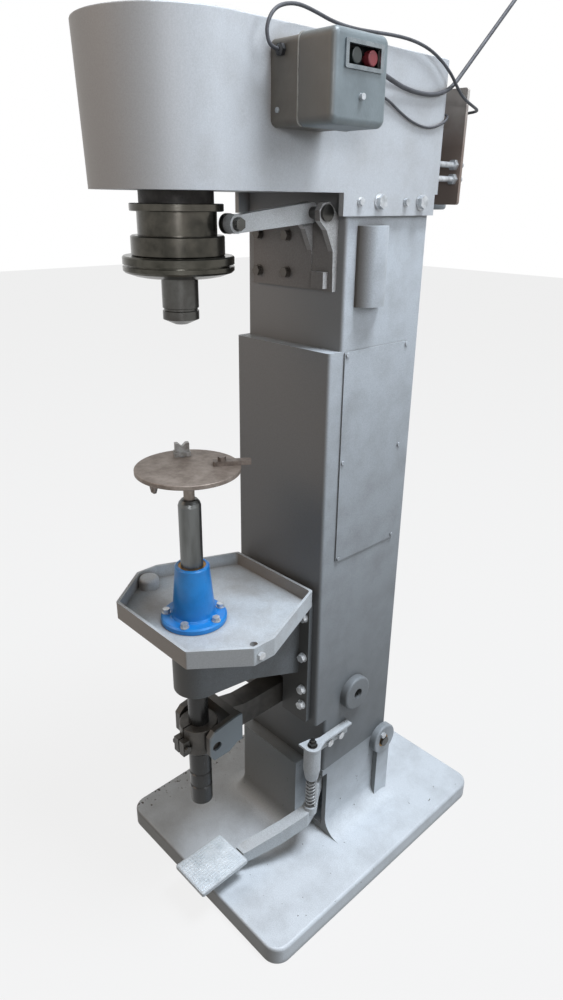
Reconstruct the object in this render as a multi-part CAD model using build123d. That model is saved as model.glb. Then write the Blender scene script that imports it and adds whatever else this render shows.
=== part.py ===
from build123d import *
import os
from math import asin, cos, radians, sin, sqrt, tan

os.makedirs("parts", exist_ok=True)

# Floor-standing can seamer. Millimetres, +Z up. The origin is on the floor under the lift axis,
# the operator stands at -Y and the column rises at +Y.

# General clearances
RUN = 0.05            # radial clearance of a shaft that turns or slides in its hole
LINK_PLAY = 0.4       # radial play of the linkage pins
BODY_GAP = 0.3        # gap between faces of pieces that move past each other

# Hexagon bolts on the column's faces
BOLT_ACROSS = 16.0
BOLT_HEAD = 8.0
WASHER_R = 10.5
WASHER = 2.0

# Base casting
BASE_WIDTH = 536.0
BASE_FRONT = -27.0
BASE_BACK = 676.0
BASE_THICK = 42.0
BASE_CORNER = 36.0
BASE_EDGE = 7.0
SKIRT_RADIUS = 46.0
FOOT_TOP = 245.0
FOOT_EDGE = 12.0
FOOT_FLOOR = 60.0

# Column
COLUMN_HALF = 123.8
COLUMN_FRONT = 250.7
COLUMN_BACK = 474.5
COLUMN_WALL = 12.0
COLUMN_TOP = 1459.0
COLUMN_EDGE = 7.0
SLIDEWAY_FRONT = 220.8
SLIDEWAY_BOTTOM = 390.0
SLIDEWAY_TOP = 1202.0

# Notch at the foot's right front corner where the pedal lever comes out
NOTCH_LEFT = 67.0
NOTCH_BACK = 266.6
NOTCH_TOP = 228.0

# Access opening and cover on the right side
COVER_FRONT = 258.0
COVER_REAR = 440.0
COVER_BOTTOM = 783.0
COVER_TOP = 1201.0
COVER_THICK = 3.0
COVER_LAP = 16.0
COVER_SCREW_INSET = 6.5
COVER_SCREW_R = 4.6

# Half-round rod cover on the right side, near the top
ROD_COVER_Y = 312.0
ROD_COVER_HALF = 34.0
ROD_COVER_DEPTH = 30.0
ROD_COVER_BOTTOM = 1277.0
ROD_COVER_TOP = 1409.0
ROD_COVER_WALL = 2.5

# Head casting
HEAD_HALF = 134.0
HEAD_BOTTOM = COLUMN_TOP
HEAD_FLOOR = 14.0
HEAD_WALL = 8.0
HEAD_HEIGHT = 207.0
HEAD_TOP = HEAD_BOTTOM + HEAD_HEIGHT
LID_THICK = 4.0
HEAD_REAR = 500.0
HEAD_REAR_CORNER = 26.0
NOSE_DRAFT = 6.0
NOSE_BLEND = 70.0
SADDLE_FRONT = 229.0
SADDLE_REAR = 474.0
SADDLE_BOTTOM = HEAD_BOTTOM - 35.0
HEAD_BOLT_Z = HEAD_BOTTOM - 13.0
HEAD_BOLTS = ((269.0, 5.5), (319.0, 10.0), (390.0, 5.5), (433.0, 10.0))

# Spindle and its bearing housing
SPINDLE_R = 20.0
STUB_R = 29.0
STUB_TOP = 1335.0
STUB_BOTTOM = 1270.0
STUB_TIP = 1261.0
SPINDLE_TOP = HEAD_TOP - 26.0
NECK_R = 57.0
NECK_BOTTOM = HEAD_BOTTOM - 19.0
CARTRIDGE_FLANGE_R = 82.0
CARTRIDGE_FLANGE = 12.0
CARTRIDGE_TOP = HEAD_BOTTOM + 73.0
BEARING_R = 40.0
BEARING_WIDTH = 18.0
BEARING_LOWER = HEAD_BOTTOM - 12.0
BEARING_UPPER = HEAD_BOTTOM + 51.0

# Belt drive
BELT_Z = HEAD_TOP - 68.0
PULLEY_WIDTH = 22.0
BIG_PULLEY_R = 106.0
SMALL_PULLEY_R = 36.0
GROOVE_DEPTH = 13.0
BELT_WIDTH = 10.0
BELT_THICK = 8.0
MOTOR_Y = 619.0
MOTOR_SHAFT_R = 7.0

# Motor and its plate behind the head
MOTOR_PLATE_Y = 555.0
MOTOR_PLATE_THICK = 7.0
MOTOR_PLATE_HALF = 133.0
MOTOR_PLATE_BOTTOM = HEAD_BOTTOM - 17.0
MOTOR_PLATE_TOP = HEAD_TOP - 31.0
BELT_WINDOW_HALF = 64.0
BELT_WINDOW_BOTTOM = BELT_Z - 26.0
BELT_WINDOW_TOP = BELT_Z + 24.0
MOTOR_R = 50.0
MOTOR_BOTTOM = HEAD_BOTTOM - 27.0
MOTOR_TOP = BELT_Z - 32.0
TERMINAL_TOP = MOTOR_TOP - 16.0
FIN_COUNT = 24
FIN_HEIGHT = 3.0
TENSION_BOLTS_X = 120.0
TENSION_BOLTS_Z = (HEAD_BOTTOM + 27.0, HEAD_BOTTOM + 51.0)
STUD_R = 5.0

# Seaming head and shift collar
HEAD_FLANGE_R = 86.8
UPPER_FLANGE = (1354.5, 1366.5)
LOWER_FLANGE = (1342.0, 1351.0)
FLANGE_NECK_R = 79.0
HEAD_CONE_R = 69.5
SLEEVE_R = 44.0
SLEEVE_TOP = 1441.0
COLLAR_BOTTOM = 1367.0
COLLAR_TOP = 1441.0
COLLAR_R = 72.4
COLLAR_STEP = 1396.0
COLLAR_GROOVE_R = 61.0
COLLAR_RING = 1430.0
COLLAR_RING_R = 71.5

# Seaming lever and its bracket on the column
LEVER_PIVOT_Y = 220.0
LEVER_PIVOT_Z = 1428.5
LEVER_PIN_R = 9.0
LEVER_X = 65.0
LEVER_WIDTH = 18.0
ROLLER_Y = 58.0
ROLLER_Z = 1413.0
ROLLER_R = 15.0
ROLLER_WIDTH = 9.0
ROLLER_PIN_R = 5.0
EAR_X = 100.0
EAR_THICK = 11.0
LEVER_PLATE_HALF = 96.0
LEVER_PLATE_BOTTOM = 1303.0
LEVER_PLATE_TOP = 1412.0
LEVER_PLATE_THICK = 10.0
LEVER_PLATE_BOLTS = ((-80.0, 1326.0), (-6.0, 1328.0), (-80.0, 1390.0), (-6.0, 1390.0))

# Table
TRAY_RIM_TOP = 733.0
TRAY_HEIGHT = 36.0
TRAY_FLOOR = 9.0
TRAY_WALL = 6.0
TRAY_FRONT = -102.0
TRAY_FRONT_HALF = 111.0
TRAY_SIDE_HALF = 183.7
TRAY_SIDE_FRONT = -8.0
TRAY_SIDE_REAR = 39.5
TRAY_REAR = 208.0
TRAY_REAR_HALF = 114.0
DRAIN = (143.0, 26.0)
DRAIN_R = 7.5
TRAY_PLUG = (6.0, 713.0)
LUG = (-158.0, 3.0)
LUG_R = 21.0

# Knee under the table
KNEE_NOSE_R = 47.0
KNEE_BOTTOM = 550.0
KNEE_BOTTOM_REAR = 516.0
KNEE_REAR_HALF = 79.0
KNEE_FLANGE_HALF = 106.0
KNEE_FLANGE_THICK = 12.0
KNEE_FLANGE_BOTTOM = 396.0
KNEE_WALL = 12.0
KNEE_BOLT_X = 92.5
KNEE_BOLT_Z = (440.0, 480.0, 562.0, 660.0)

# Guide housing on the table
GUIDE_FLANGE_R = 63.0
GUIDE_FLANGE = 12.0
GUIDE_FOOT_R = 41.0
GUIDE_TOP_R = 32.5
GUIDE_TOP = 822.0
GUIDE_BOLT_PCD = 106.0
GUIDE_BOLT_ANGLES = (-56.0, 14.0, 70.0, 142.0, 228.0)
BUSH_R = 26.0

# Lift shaft, can plate and its stops
SHAFT_R = 21.0
SHAFT_TOP = 955.0
SHAFT_SHOULDER = 385.0
SHAFT_END_R = 23.4
SHAFT_BOTTOM = 250.0
SHAFT_GROOVES = (296.0, 331.0)
PLATE_R = 93.4
PLATE_TOP = 1015.7
PLATE_THICK = 8.0
PLATE_HUB_R = 16.0
PLATE_HUB = 26.0
STEM_R = 10.0
STEM_DEPTH = 60.0
STOP_SLOT = 8.4
STOP_TRAVEL = 10.0
V_STOP = (153.0, 62.0)
ARM_STOP = (57.0, 60.0)
WING_ANGLE = 266.0
WING_RADIUS = 70.0

# Lift linkage
FORK_PIVOT_Y = 339.0
FORK_PIVOT_Z = 426.0
FORK_SHAFT_R = 12.5
FORK_HUB_R = 30.0
FORK_ARM_HALF = 24.0
FORK_CHEEK_INNER = 45.0
FORK_CHEEK_OUTER = 60.0
FORK_CHEEK_FRONT = -16.0
FORK_CHEEK_REAR = 45.0
FORK_CHEEK_BOTTOM = 398.0
FORK_CHEEK_TOP = 474.0
TRUNNION_Z = 430.0
TRUNNION_R = 9.0
LIFT_COLLAR_R = 40.0
LIFT_COLLAR_HALF = 30.0
LINK_Y = 388.5
LINK_PIN_R = 6.0
TAIL_HALF = 12.0
LINK_PLATE = 6.0
SIDE_BOSS_R = 40.0
SIDE_BOSS = 18.0
BOSS_EDGE = 5.0
FOOT_BOSS_Y = 456.0
FOOT_BOSS_R = 38.0
KEEPER_BOLT = (444.0, 246.0)

# Pedal
PEDAL_PIVOT_Y = 450.0
PEDAL_PIVOT_Z = 225.0
PEDAL_SHAFT_R = 12.0
PEDAL_LEVER_X = 97.0
PEDAL_LEVER_HALF = 12.5
PAD_X = 45.0
PAD_WIDTH = 98.0
PAD_FRONT = -76.0
PAD_REAR = 49.0
PAD_TOP = 100.0
PAD_THICK = 8.0
PEDAL_TRAVEL = 3.3

# Return spring on its bracket
SPRING_X = 131.0
SPRING_Y = 206.0
SPRING_R = 12.5
SPRING_WIRE = 4.5
SPRING_BOTTOM = 181.0
SPRING_TOP = 256.0
SPRING_BRACKET_TOP = 352.0
EYE_R = 20.0
SPRING_CUP_R = 19.0

# Starter on the right side of the head
STARTER_Y = 123.0
STARTER_Z = HEAD_TOP - 72.0
STARTER_WIDTH = 110.0
STARTER_HEIGHT = 110.0
STARTER_BASE_DEPTH = 55.0
STARTER_COVER_DEPTH = 62.7
STARTER_WALL = 3.0
STARTER_EDGE = 12.0
STARTER_STEP = 2.0        # the cover laps over the smaller base
WINDOW = (125.3, STARTER_Z + 26.0, 75.0, 33.0)
BUTTON_Y = (113.2, 144.9)
BUTTON_R = 9.5
BUTTON_TRAVEL = 4.0


def save(name, *solids):
    """Write the solids of one sub-part to its own file."""
    shape = solids[0] if len(solids) == 1 else Compound(children=list(solids))
    export_step(shape, f"parts/{name}.step")


def block(x0, x1, y0, y1, z0, z1):
    """A box given by its limits."""
    middle = ((x0 + x1) / 2, (y0 + y1) / 2, (z0 + z1) / 2)
    return Pos(*middle) * Box(x1 - x0, y1 - y0, z1 - z0)


def rod_z(radius, z0, z1, x=0.0, y=0.0):
    return Pos(x, y, (z0 + z1) / 2) * Cylinder(radius, z1 - z0)


def rod_x(radius, x0, x1, y, z):
    return Pos((x0 + x1) / 2, y, z) * Rot(0, 90, 0) * Cylinder(radius, x1 - x0)


def rod_y(radius, y0, y1, x, z):
    return Pos(x, (y0 + y1) / 2, z) * Rot(90, 0, 0) * Cylinder(radius, y1 - y0)


def turned(points):
    """A solid of revolution about the lift axis from (radius, height) points."""
    return revolve(Plane.XZ * make_face(Polyline(*points, close=True)), Axis.Z)


def plate_yz(points, x0, x1):
    """A side profile in Y and Z, extruded from x0 to x1."""
    return extrude(Plane.YZ.offset(x0) * make_face(Polyline(*points, close=True)), x1 - x0)


def plate_xy(points, z0, z1):
    """A plan profile in X and Y, extruded from z0 to z1."""
    return extrude(Plane.XY.offset(z0) * make_face(Polyline(*points, close=True)), z1 - z0)


def hex_head(across, height, washer_r=0.0, washer=0.0):
    """A hexagon bolt head that stands on Z=0, with a washer under it if given."""
    head = extrude(RegularPolygon(across / sqrt(3), 6), height)
    if washer > 0:
        head = Pos(0, 0, washer) * head + rod_z(washer_r, 0, washer)
    return head


def along_x(shape, x, y, z):
    """Place a bolt so that its head looks along +X."""
    return Pos(x, y, z) * Rot(0, 90, 0) * shape


def facing_front(shape, x, y, z):
    """Place a bolt so that its head looks along -Y."""
    return Pos(x, y, z) * Rot(90, 0, 0) * shape


def mirror_x(shape):
    return mirror(shape, about=Plane.YZ)


# Base casting: a thick plate with a flared foot that the column stands on
def base_casting():
    middle_y = (BASE_FRONT + BASE_BACK) / 2
    plate_plan = Pos(0, middle_y) * RectangleRounded(BASE_WIDTH, BASE_BACK - BASE_FRONT, BASE_CORNER)
    plate = extrude(plate_plan, BASE_THICK)
    plate = fillet(plate.faces().sort_by(Axis.Z)[-1].edges(), BASE_EDGE)
    foot_plan = Pos(0, (SLIDEWAY_FRONT + COLUMN_BACK) / 2) * RectangleRounded(
        2 * COLUMN_HALF, COLUMN_BACK - SLIDEWAY_FRONT, FOOT_EDGE)
    foot = extrude(Plane.XY.offset(BASE_THICK) * foot_plan, FOOT_TOP - BASE_THICK)
    casting = plate + foot
    seam = [e for e in casting.edges()
            if abs(e.center().Z - BASE_THICK) < 0.01 and abs(e.center().X) < COLUMN_HALF + 1
            and SLIDEWAY_FRONT - 1 < e.center().Y < COLUMN_BACK + 1]
    casting = fillet(seam, SKIRT_RADIUS)
    for side in (-1, 1):
        boss = rod_x(FOOT_BOSS_R, COLUMN_HALF, COLUMN_HALF + SIDE_BOSS, FOOT_BOSS_Y, PEDAL_PIVOT_Z)
        boss = fillet(boss.faces().sort_by(Axis.X)[-1].edges(), BOSS_EDGE)
        lug = plate_yz([(FOOT_BOSS_Y - 20, PEDAL_PIVOT_Z), (FOOT_BOSS_Y + 26, PEDAL_PIVOT_Z),
                        (FOOT_BOSS_Y + 26, BASE_THICK + 4), (FOOT_BOSS_Y - 20, BASE_THICK + 4)],
                       COLUMN_HALF - COLUMN_WALL, COLUMN_HALF + SIDE_BOSS - BOSS_EDGE)
        lug = lug & block(0, BASE_WIDTH, 0, BASE_BACK, 0, FOOT_TOP)
        piece = boss + lug
        casting += piece if side > 0 else mirror_x(piece)
    inner = COLUMN_HALF - COLUMN_WALL
    casting -= block(-inner, inner, COLUMN_FRONT + COLUMN_WALL, COLUMN_BACK - COLUMN_WALL,
                     FOOT_FLOOR, FOOT_TOP + 1)
    casting -= block(NOTCH_LEFT, BASE_WIDTH / 2, SLIDEWAY_FRONT - SKIRT_RADIUS - 1, NOTCH_BACK,
                     BASE_THICK, NOTCH_TOP)
    casting -= block(NOTCH_LEFT, BASE_WIDTH / 2, SLIDEWAY_FRONT - 1, COLUMN_FRONT,
                     BASE_THICK, FOOT_TOP + 1)
    casting -= block(NOTCH_LEFT, inner, NOTCH_BACK - 1, COLUMN_BACK - COLUMN_WALL,
                     FOOT_FLOOR, FOOT_TOP + 1)
    casting -= rod_x(PEDAL_SHAFT_R + 4, -200, 200, PEDAL_PIVOT_Y, PEDAL_PIVOT_Z)
    return casting


def column_frame():
    outer = plate_yz([(COLUMN_FRONT, FOOT_TOP), (COLUMN_FRONT, SLIDEWAY_BOTTOM),
                      (SLIDEWAY_FRONT, SLIDEWAY_BOTTOM), (SLIDEWAY_FRONT, SLIDEWAY_TOP),
                      (COLUMN_FRONT, SLIDEWAY_TOP), (COLUMN_FRONT, COLUMN_TOP),
                      (COLUMN_BACK, COLUMN_TOP), (COLUMN_BACK, FOOT_TOP)],
                     -COLUMN_HALF, COLUMN_HALF)
    uprights = [e for e in outer.edges().filter_by(Axis.Z) if abs(abs(e.center().X) - COLUMN_HALF) < 0.1]
    outer = fillet(uprights, COLUMN_EDGE)
    boss = rod_x(SIDE_BOSS_R, -COLUMN_HALF - SIDE_BOSS, COLUMN_HALF + SIDE_BOSS,
                 FORK_PIVOT_Y, FORK_PIVOT_Z)
    boss = fillet(boss.edges().filter_by(GeomType.CIRCLE), BOSS_EDGE)
    wall = COLUMN_WALL
    inner_half = COLUMN_HALF - wall
    inner = plate_yz([(COLUMN_FRONT + wall, FOOT_TOP - 1), (COLUMN_FRONT + wall, SLIDEWAY_BOTTOM + wall),
                      (SLIDEWAY_FRONT + wall, SLIDEWAY_BOTTOM + wall),
                      (SLIDEWAY_FRONT + wall, SLIDEWAY_TOP - wall),
                      (COLUMN_FRONT + wall, SLIDEWAY_TOP - wall), (COLUMN_FRONT + wall, COLUMN_TOP + 1),
                      (COLUMN_BACK - wall, COLUMN_TOP + 1), (COLUMN_BACK - wall, FOOT_TOP - 1)],
                     -inner_half, inner_half)
    column = outer + boss - inner
    column -= block(inner_half - 1, COLUMN_HALF + 1, COVER_FRONT + COVER_LAP, COVER_REAR - COVER_LAP,
                    COVER_BOTTOM + COVER_LAP, COVER_TOP - COVER_LAP)
    slot_half = FORK_ARM_HALF + 8
    column -= block(-slot_half, slot_half, SLIDEWAY_FRONT - 1, COLUMN_FRONT + wall + 1,
                    SLIDEWAY_BOTTOM - 1, FORK_PIVOT_Z + 52)
    column -= rod_x(FORK_SHAFT_R, -COLUMN_HALF - SIDE_BOSS - 1, COLUMN_HALF + SIDE_BOSS + 1,
                    FORK_PIVOT_Y, FORK_PIVOT_Z)
    return column


def access_cover():
    cover = block(COLUMN_HALF, COLUMN_HALF + COVER_THICK, COVER_FRONT, COVER_REAR,
                  COVER_BOTTOM, COVER_TOP)
    return fillet(cover.edges().filter_by(Axis.X), 4)


def cover_screws():
    head = Cylinder(COVER_SCREW_R, 2.6, align=(Align.CENTER, Align.CENTER, Align.MIN))
    head = fillet(head.edges().sort_by(Axis.Z)[-1], 1.4)
    screws = []
    for y in (COVER_FRONT + COVER_SCREW_INSET, COVER_REAR - COVER_SCREW_INSET):
        for z in (COVER_BOTTOM + 6, (COVER_BOTTOM + COVER_TOP) / 2, COVER_TOP - 6):
            screws.append(along_x(head, COLUMN_HALF + COVER_THICK, y, z))
    return screws


def rod_cover():
    outer = extrude(Plane.XY.offset(ROD_COVER_BOTTOM) * rod_cover_plan(0),
                    ROD_COVER_TOP - ROD_COVER_BOTTOM)
    inner = extrude(Plane.XY.offset(ROD_COVER_BOTTOM + ROD_COVER_WALL) * rod_cover_plan(ROD_COVER_WALL),
                    ROD_COVER_TOP - ROD_COVER_BOTTOM - 2 * ROD_COVER_WALL)
    return outer - inner


def rod_cover_plan(inset):
    half = ROD_COVER_HALF - inset
    depth = ROD_COVER_DEPTH - inset
    flat = depth - half * 0.72
    start = Line((COLUMN_HALF, ROD_COVER_Y - half), (COLUMN_HALF + flat, ROD_COVER_Y - half))
    arc = ThreePointArc((COLUMN_HALF + flat, ROD_COVER_Y - half), (COLUMN_HALF + depth, ROD_COVER_Y),
                        (COLUMN_HALF + flat, ROD_COVER_Y + half))
    end = Line((COLUMN_HALF + flat, ROD_COVER_Y + half), (COLUMN_HALF, ROD_COVER_Y + half))
    back = Line((COLUMN_HALF, ROD_COVER_Y + half), (COLUMN_HALF, ROD_COVER_Y - half))
    return make_face([start, arc, end, back])


# Head casting: a round-nosed box that carries the spindle and covers the belt drive
def head_plan(inset, draft=0.0):
    """The head's outline: a half round about the spindle axis, and straight sides to the rear."""
    half = HEAD_HALF - inset
    nose_r = half - draft
    rear = HEAD_REAR - inset
    corner = max(HEAD_REAR_CORNER - inset, 4)
    turn = corner * (1 - cos(radians(45)))
    nose = ThreePointArc((-nose_r, 0), (0, -nose_r), (nose_r, 0))
    right_blend = Line((nose_r, 0), (half, NOSE_BLEND))
    right = Line((half, NOSE_BLEND), (half, rear - corner))
    right_corner = ThreePointArc((half, rear - corner), (half - turn, rear - turn), (half - corner, rear))
    back = Line((half - corner, rear), (-half + corner, rear))
    left_corner = ThreePointArc((-half + corner, rear), (-half + turn, rear - turn), (-half, rear - corner))
    left = Line((-half, rear - corner), (-half, NOSE_BLEND))
    left_blend = Line((-half, NOSE_BLEND), (-nose_r, 0))
    return make_face([nose, right_blend, right, right_corner, back, left_corner, left, left_blend])


def head_housing():
    outer = loft([Plane.XY.offset(HEAD_BOTTOM) * head_plan(0, NOSE_DRAFT),
                  Plane.XY.offset(HEAD_TOP) * head_plan(0)], ruled=True)
    inner = loft([Plane.XY.offset(HEAD_BOTTOM + HEAD_FLOOR) * head_plan(HEAD_WALL, NOSE_DRAFT),
                  Plane.XY.offset(HEAD_TOP + 1) * head_plan(HEAD_WALL)], ruled=True)
    saddle = block(-HEAD_HALF, HEAD_HALF, SADDLE_FRONT, SADDLE_REAR, SADDLE_BOTTOM, HEAD_BOTTOM + 1)
    saddle -= block(-COLUMN_HALF, COLUMN_HALF, SADDLE_FRONT - 1, SADDLE_REAR + 1,
                    SADDLE_BOTTOM - 1, HEAD_BOTTOM)
    housing = outer + saddle - inner
    housing -= rod_z(NECK_R, HEAD_BOTTOM - 1, HEAD_BOTTOM + HEAD_FLOOR + 1)
    housing -= block(-BELT_WINDOW_HALF, BELT_WINDOW_HALF, HEAD_REAR - HEAD_WALL - 3, HEAD_REAR + 3,
                     BELT_WINDOW_BOTTOM, BELT_WINDOW_TOP)
    for x in (-TENSION_BOLTS_X, TENSION_BOLTS_X):
        for z in TENSION_BOLTS_Z:
            housing -= rod_y(STUD_R, HEAD_REAR - 40, HEAD_REAR + 1, x, z)
    return housing


def head_lid():
    lid = extrude(Plane.XY.offset(HEAD_TOP) * head_plan(0), LID_THICK)
    return fillet(lid.faces().sort_by(Axis.Z)[-1].edges(), 2)


def lid_screws():
    head = Cylinder(5.5, 1.6, align=(Align.CENTER, Align.CENTER, Align.MIN))
    head = fillet(head.edges().sort_by(Axis.Z)[-1], 1.0)
    spots = [(0, -HEAD_HALF + 16), (-HEAD_HALF + 16, 40), (HEAD_HALF - 16, 40), (-HEAD_HALF + 16, 250),
             (HEAD_HALF - 16, 250), (-HEAD_HALF + 20, HEAD_REAR - 20), (HEAD_HALF - 20, HEAD_REAR - 20)]
    return [Pos(x, y, HEAD_TOP + LID_THICK) * head for x, y in spots]


def head_bolts():
    bolts = []
    face = HEAD_HALF
    for y, size in HEAD_BOLTS:
        head = hex_head(size * 2, size * 0.8, size * 1.35, 1.6)
        bolts.append(along_x(head, face, y, HEAD_BOLT_Z))
        bolts.append(mirror_x(along_x(head, face, y, HEAD_BOLT_Z)))
    return bolts


# Spindle unit: a flanged cartridge with two ball bearings in the head's floor
def bearing_cartridge():
    floor = HEAD_BOTTOM + HEAD_FLOOR
    body = turned([(BEARING_R, BEARING_LOWER), (BEARING_R, CARTRIDGE_TOP - 4), (SPINDLE_R + 6, CARTRIDGE_TOP - 4),
                   (SPINDLE_R + 6, CARTRIDGE_TOP), (NECK_R, CARTRIDGE_TOP),
                   (NECK_R, floor + CARTRIDGE_FLANGE), (CARTRIDGE_FLANGE_R, floor + CARTRIDGE_FLANGE),
                   (CARTRIDGE_FLANGE_R, floor), (NECK_R, floor), (NECK_R, NECK_BOTTOM),
                   (SPINDLE_R + 6, NECK_BOTTOM), (SPINDLE_R + 6, BEARING_LOWER)])
    radius = (NECK_R + CARTRIDGE_FLANGE_R) / 2
    for i in range(6):
        body += Rot(0, 0, 60 * i) * Pos(radius, 0, floor + CARTRIDGE_FLANGE) * hex_head(13, 5.5)
    return body


def bearing_ring(bottom):
    """A ball bearing drawn as one ring with the groove between its races."""
    top = bottom + BEARING_WIDTH
    bore = SPINDLE_R + RUN
    middle = (bore + BEARING_R) / 2
    return turned([(bore, bottom), (middle - 4, bottom), (middle - 4, bottom + 2.5), (middle + 4, bottom + 2.5),
                   (middle + 4, bottom), (BEARING_R, bottom), (BEARING_R, top), (middle + 4, top),
                   (middle + 4, top - 2.5), (middle - 4, top - 2.5), (middle - 4, top), (bore, top)])


def grooved_pulley(outer_r, bore_r, hub_r, hub_top, web):
    """A V-belt pulley centred on the belt's height, with a hub that ends at hub_top."""
    low = BELT_Z - PULLEY_WIDTH / 2
    high = BELT_Z + PULLEY_WIDTH / 2
    root = outer_r - GROOVE_DEPTH
    half_root = BELT_WIDTH / 2 + 0.6
    half_rim = half_root + 2.2
    points = [(bore_r, low), (outer_r, low), (outer_r, BELT_Z - half_rim), (root, BELT_Z - half_root),
              (root, BELT_Z + half_root), (outer_r, BELT_Z + half_rim), (outer_r, high)]
    if web > 0:
        points += [(root - 6, high), (root - 6, low + web), (hub_r, low + web)]
    else:
        points += [(hub_r, high)]
    points += [(hub_r, hub_top), (bore_r, hub_top)]
    return turned(points)


def drive_belt():
    """The V-belt as one closed loop, held just clear of both grooves."""
    far = MOTOR_Y
    big = BIG_PULLEY_R - GROOVE_DEPTH + 2
    small = SMALL_PULLEY_R - GROOVE_DEPTH + 2

    def loop(extra):
        r1 = big + extra
        r2 = small + extra
        tilt = asin((r1 - r2) / far)
        right_1 = (r1 * cos(tilt), r1 * sin(tilt))
        right_2 = (r2 * cos(tilt), far + r2 * sin(tilt))
        left_1 = (-right_1[0], right_1[1])
        left_2 = (-right_2[0], right_2[1])
        return make_face([ThreePointArc(left_1, (0, -r1), right_1), Line(right_1, right_2),
                          ThreePointArc(right_2, (0, far + r2), left_2), Line(left_2, left_1)])

    ring = loop(BELT_THICK) - loop(0)
    return extrude(Plane.XY.offset(BELT_Z - BELT_WIDTH / 2) * ring, BELT_WIDTH)


def spindle():
    groove = STUB_BOTTOM + 13
    return turned([(0, STUB_TIP), (STUB_R - 18, STUB_TIP + 1), (STUB_R, STUB_BOTTOM), (STUB_R, groove),
                   (STUB_R - 2, groove + 1), (STUB_R - 2, groove + 4), (STUB_R, groove + 5),
                   (STUB_R, STUB_TOP), (SPINDLE_R, STUB_TOP), (SPINDLE_R, SPINDLE_TOP), (0, SPINDLE_TOP)])


def seaming_head():
    low, high = UPPER_FLANGE
    low_2, high_2 = LOWER_FLANGE
    r = HEAD_FLANGE_R
    return turned([(SPINDLE_R, STUB_TOP), (HEAD_CONE_R - 10, STUB_TOP), (HEAD_CONE_R, STUB_TOP + 2),
                   (r - 3, low_2), (r, low_2 + 3), (r, high_2), (FLANGE_NECK_R, high_2),
                   (FLANGE_NECK_R, low), (r, low), (r, high - 2), (r - 2, high),
                   (SLEEVE_R, high), (SLEEVE_R, SLEEVE_TOP - 2), (SPINDLE_R, SLEEVE_TOP - 2)])


def shift_collar():
    bore = SLEEVE_R + RUN
    relief = NECK_R + 1.5
    return turned([(bore, COLLAR_BOTTOM), (COLLAR_R - 1, COLLAR_BOTTOM), (COLLAR_R, COLLAR_BOTTOM + 1),
                   (COLLAR_R, COLLAR_STEP - 2), (COLLAR_R - 2, COLLAR_STEP), (COLLAR_GROOVE_R, COLLAR_STEP),
                   (COLLAR_GROOVE_R, COLLAR_RING), (COLLAR_RING_R - 1, COLLAR_RING),
                   (COLLAR_RING_R, COLLAR_RING + 1), (COLLAR_RING_R, COLLAR_TOP - 1),
                   (COLLAR_RING_R - 1, COLLAR_TOP), (relief, COLLAR_TOP), (relief, COLLAR_RING - 2),
                   (bore, COLLAR_RING - 2)])


# Seaming lever: rocks on a bracket on the column and shifts the collar through a roller
def lever_bracket():
    back = COLUMN_FRONT
    front = back - LEVER_PLATE_THICK
    plate = block(-LEVER_PLATE_HALF, LEVER_PLATE_HALF, front, back, LEVER_PLATE_BOTTOM, LEVER_PLATE_TOP)
    ear_profile = [(back, LEVER_PLATE_BOTTOM), (front, LEVER_PLATE_BOTTOM), (front - 2, LEVER_PIVOT_Z - 60),
                   (LEVER_PIVOT_Y + 2, LEVER_PIVOT_Z - 26), (LEVER_PIVOT_Y - 14, LEVER_PIVOT_Z - 12),
                   (LEVER_PIVOT_Y - 16, LEVER_PIVOT_Z + 4), (LEVER_PIVOT_Y - 8, LEVER_PIVOT_Z + 15),
                   (LEVER_PIVOT_Y + 8, LEVER_PIVOT_Z + 17), (back, LEVER_PIVOT_Z - 6)]
    right_ear = plate_yz(ear_profile, EAR_X - EAR_THICK / 2, EAR_X + EAR_THICK / 2)
    inner_x = LEVER_X - LEVER_WIDTH / 2 - BODY_GAP - EAR_THICK / 2
    inner_ear = plate_yz(ear_profile, inner_x - EAR_THICK / 2, inner_x + EAR_THICK / 2)
    lug = block(EAR_X - 34, EAR_X - EAR_THICK / 2, front - 12, front, LEVER_PLATE_BOTTOM + 5, LEVER_PLATE_BOTTOM + 32)
    bracket = plate + right_ear + inner_ear + lug
    bracket -= rod_x(LEVER_PIN_R, -200, 200, LEVER_PIVOT_Y, LEVER_PIVOT_Z)
    return bracket


def lever_pin():
    inner_x = LEVER_X - LEVER_WIDTH / 2 - BODY_GAP - EAR_THICK
    pin = rod_x(LEVER_PIN_R, inner_x - 4, EAR_X + EAR_THICK / 2 + 3, LEVER_PIVOT_Y, LEVER_PIVOT_Z)
    head = rod_x(LEVER_PIN_R + 4, EAR_X + EAR_THICK / 2, EAR_X + EAR_THICK / 2 + 5, LEVER_PIVOT_Y, LEVER_PIVOT_Z)
    return pin + head


def seam_lever():
    half = LEVER_WIDTH / 2
    pivot = (LEVER_PIVOT_Y, LEVER_PIVOT_Z)
    hub = rod_x(16, LEVER_X - half, LEVER_X + half, *pivot)
    arm = plate_yz([(LEVER_PIVOT_Y, LEVER_PIVOT_Z - 16), (ROLLER_Y + 4, ROLLER_Z - 13),
                    (ROLLER_Y + 4, ROLLER_Z + 13), (LEVER_PIVOT_Y, LEVER_PIVOT_Z + 16)],
                   LEVER_X - half, LEVER_X + half)
    eye = rod_x(14, LEVER_X - half, LEVER_X + half, ROLLER_Y, ROLLER_Z)
    lever = hub + arm + eye
    lever -= rod_x(LEVER_PIN_R + RUN, -200, 200, *pivot)
    return lever - rod_x(ROLLER_PIN_R, -200, 200, ROLLER_Y, ROLLER_Z)


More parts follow.
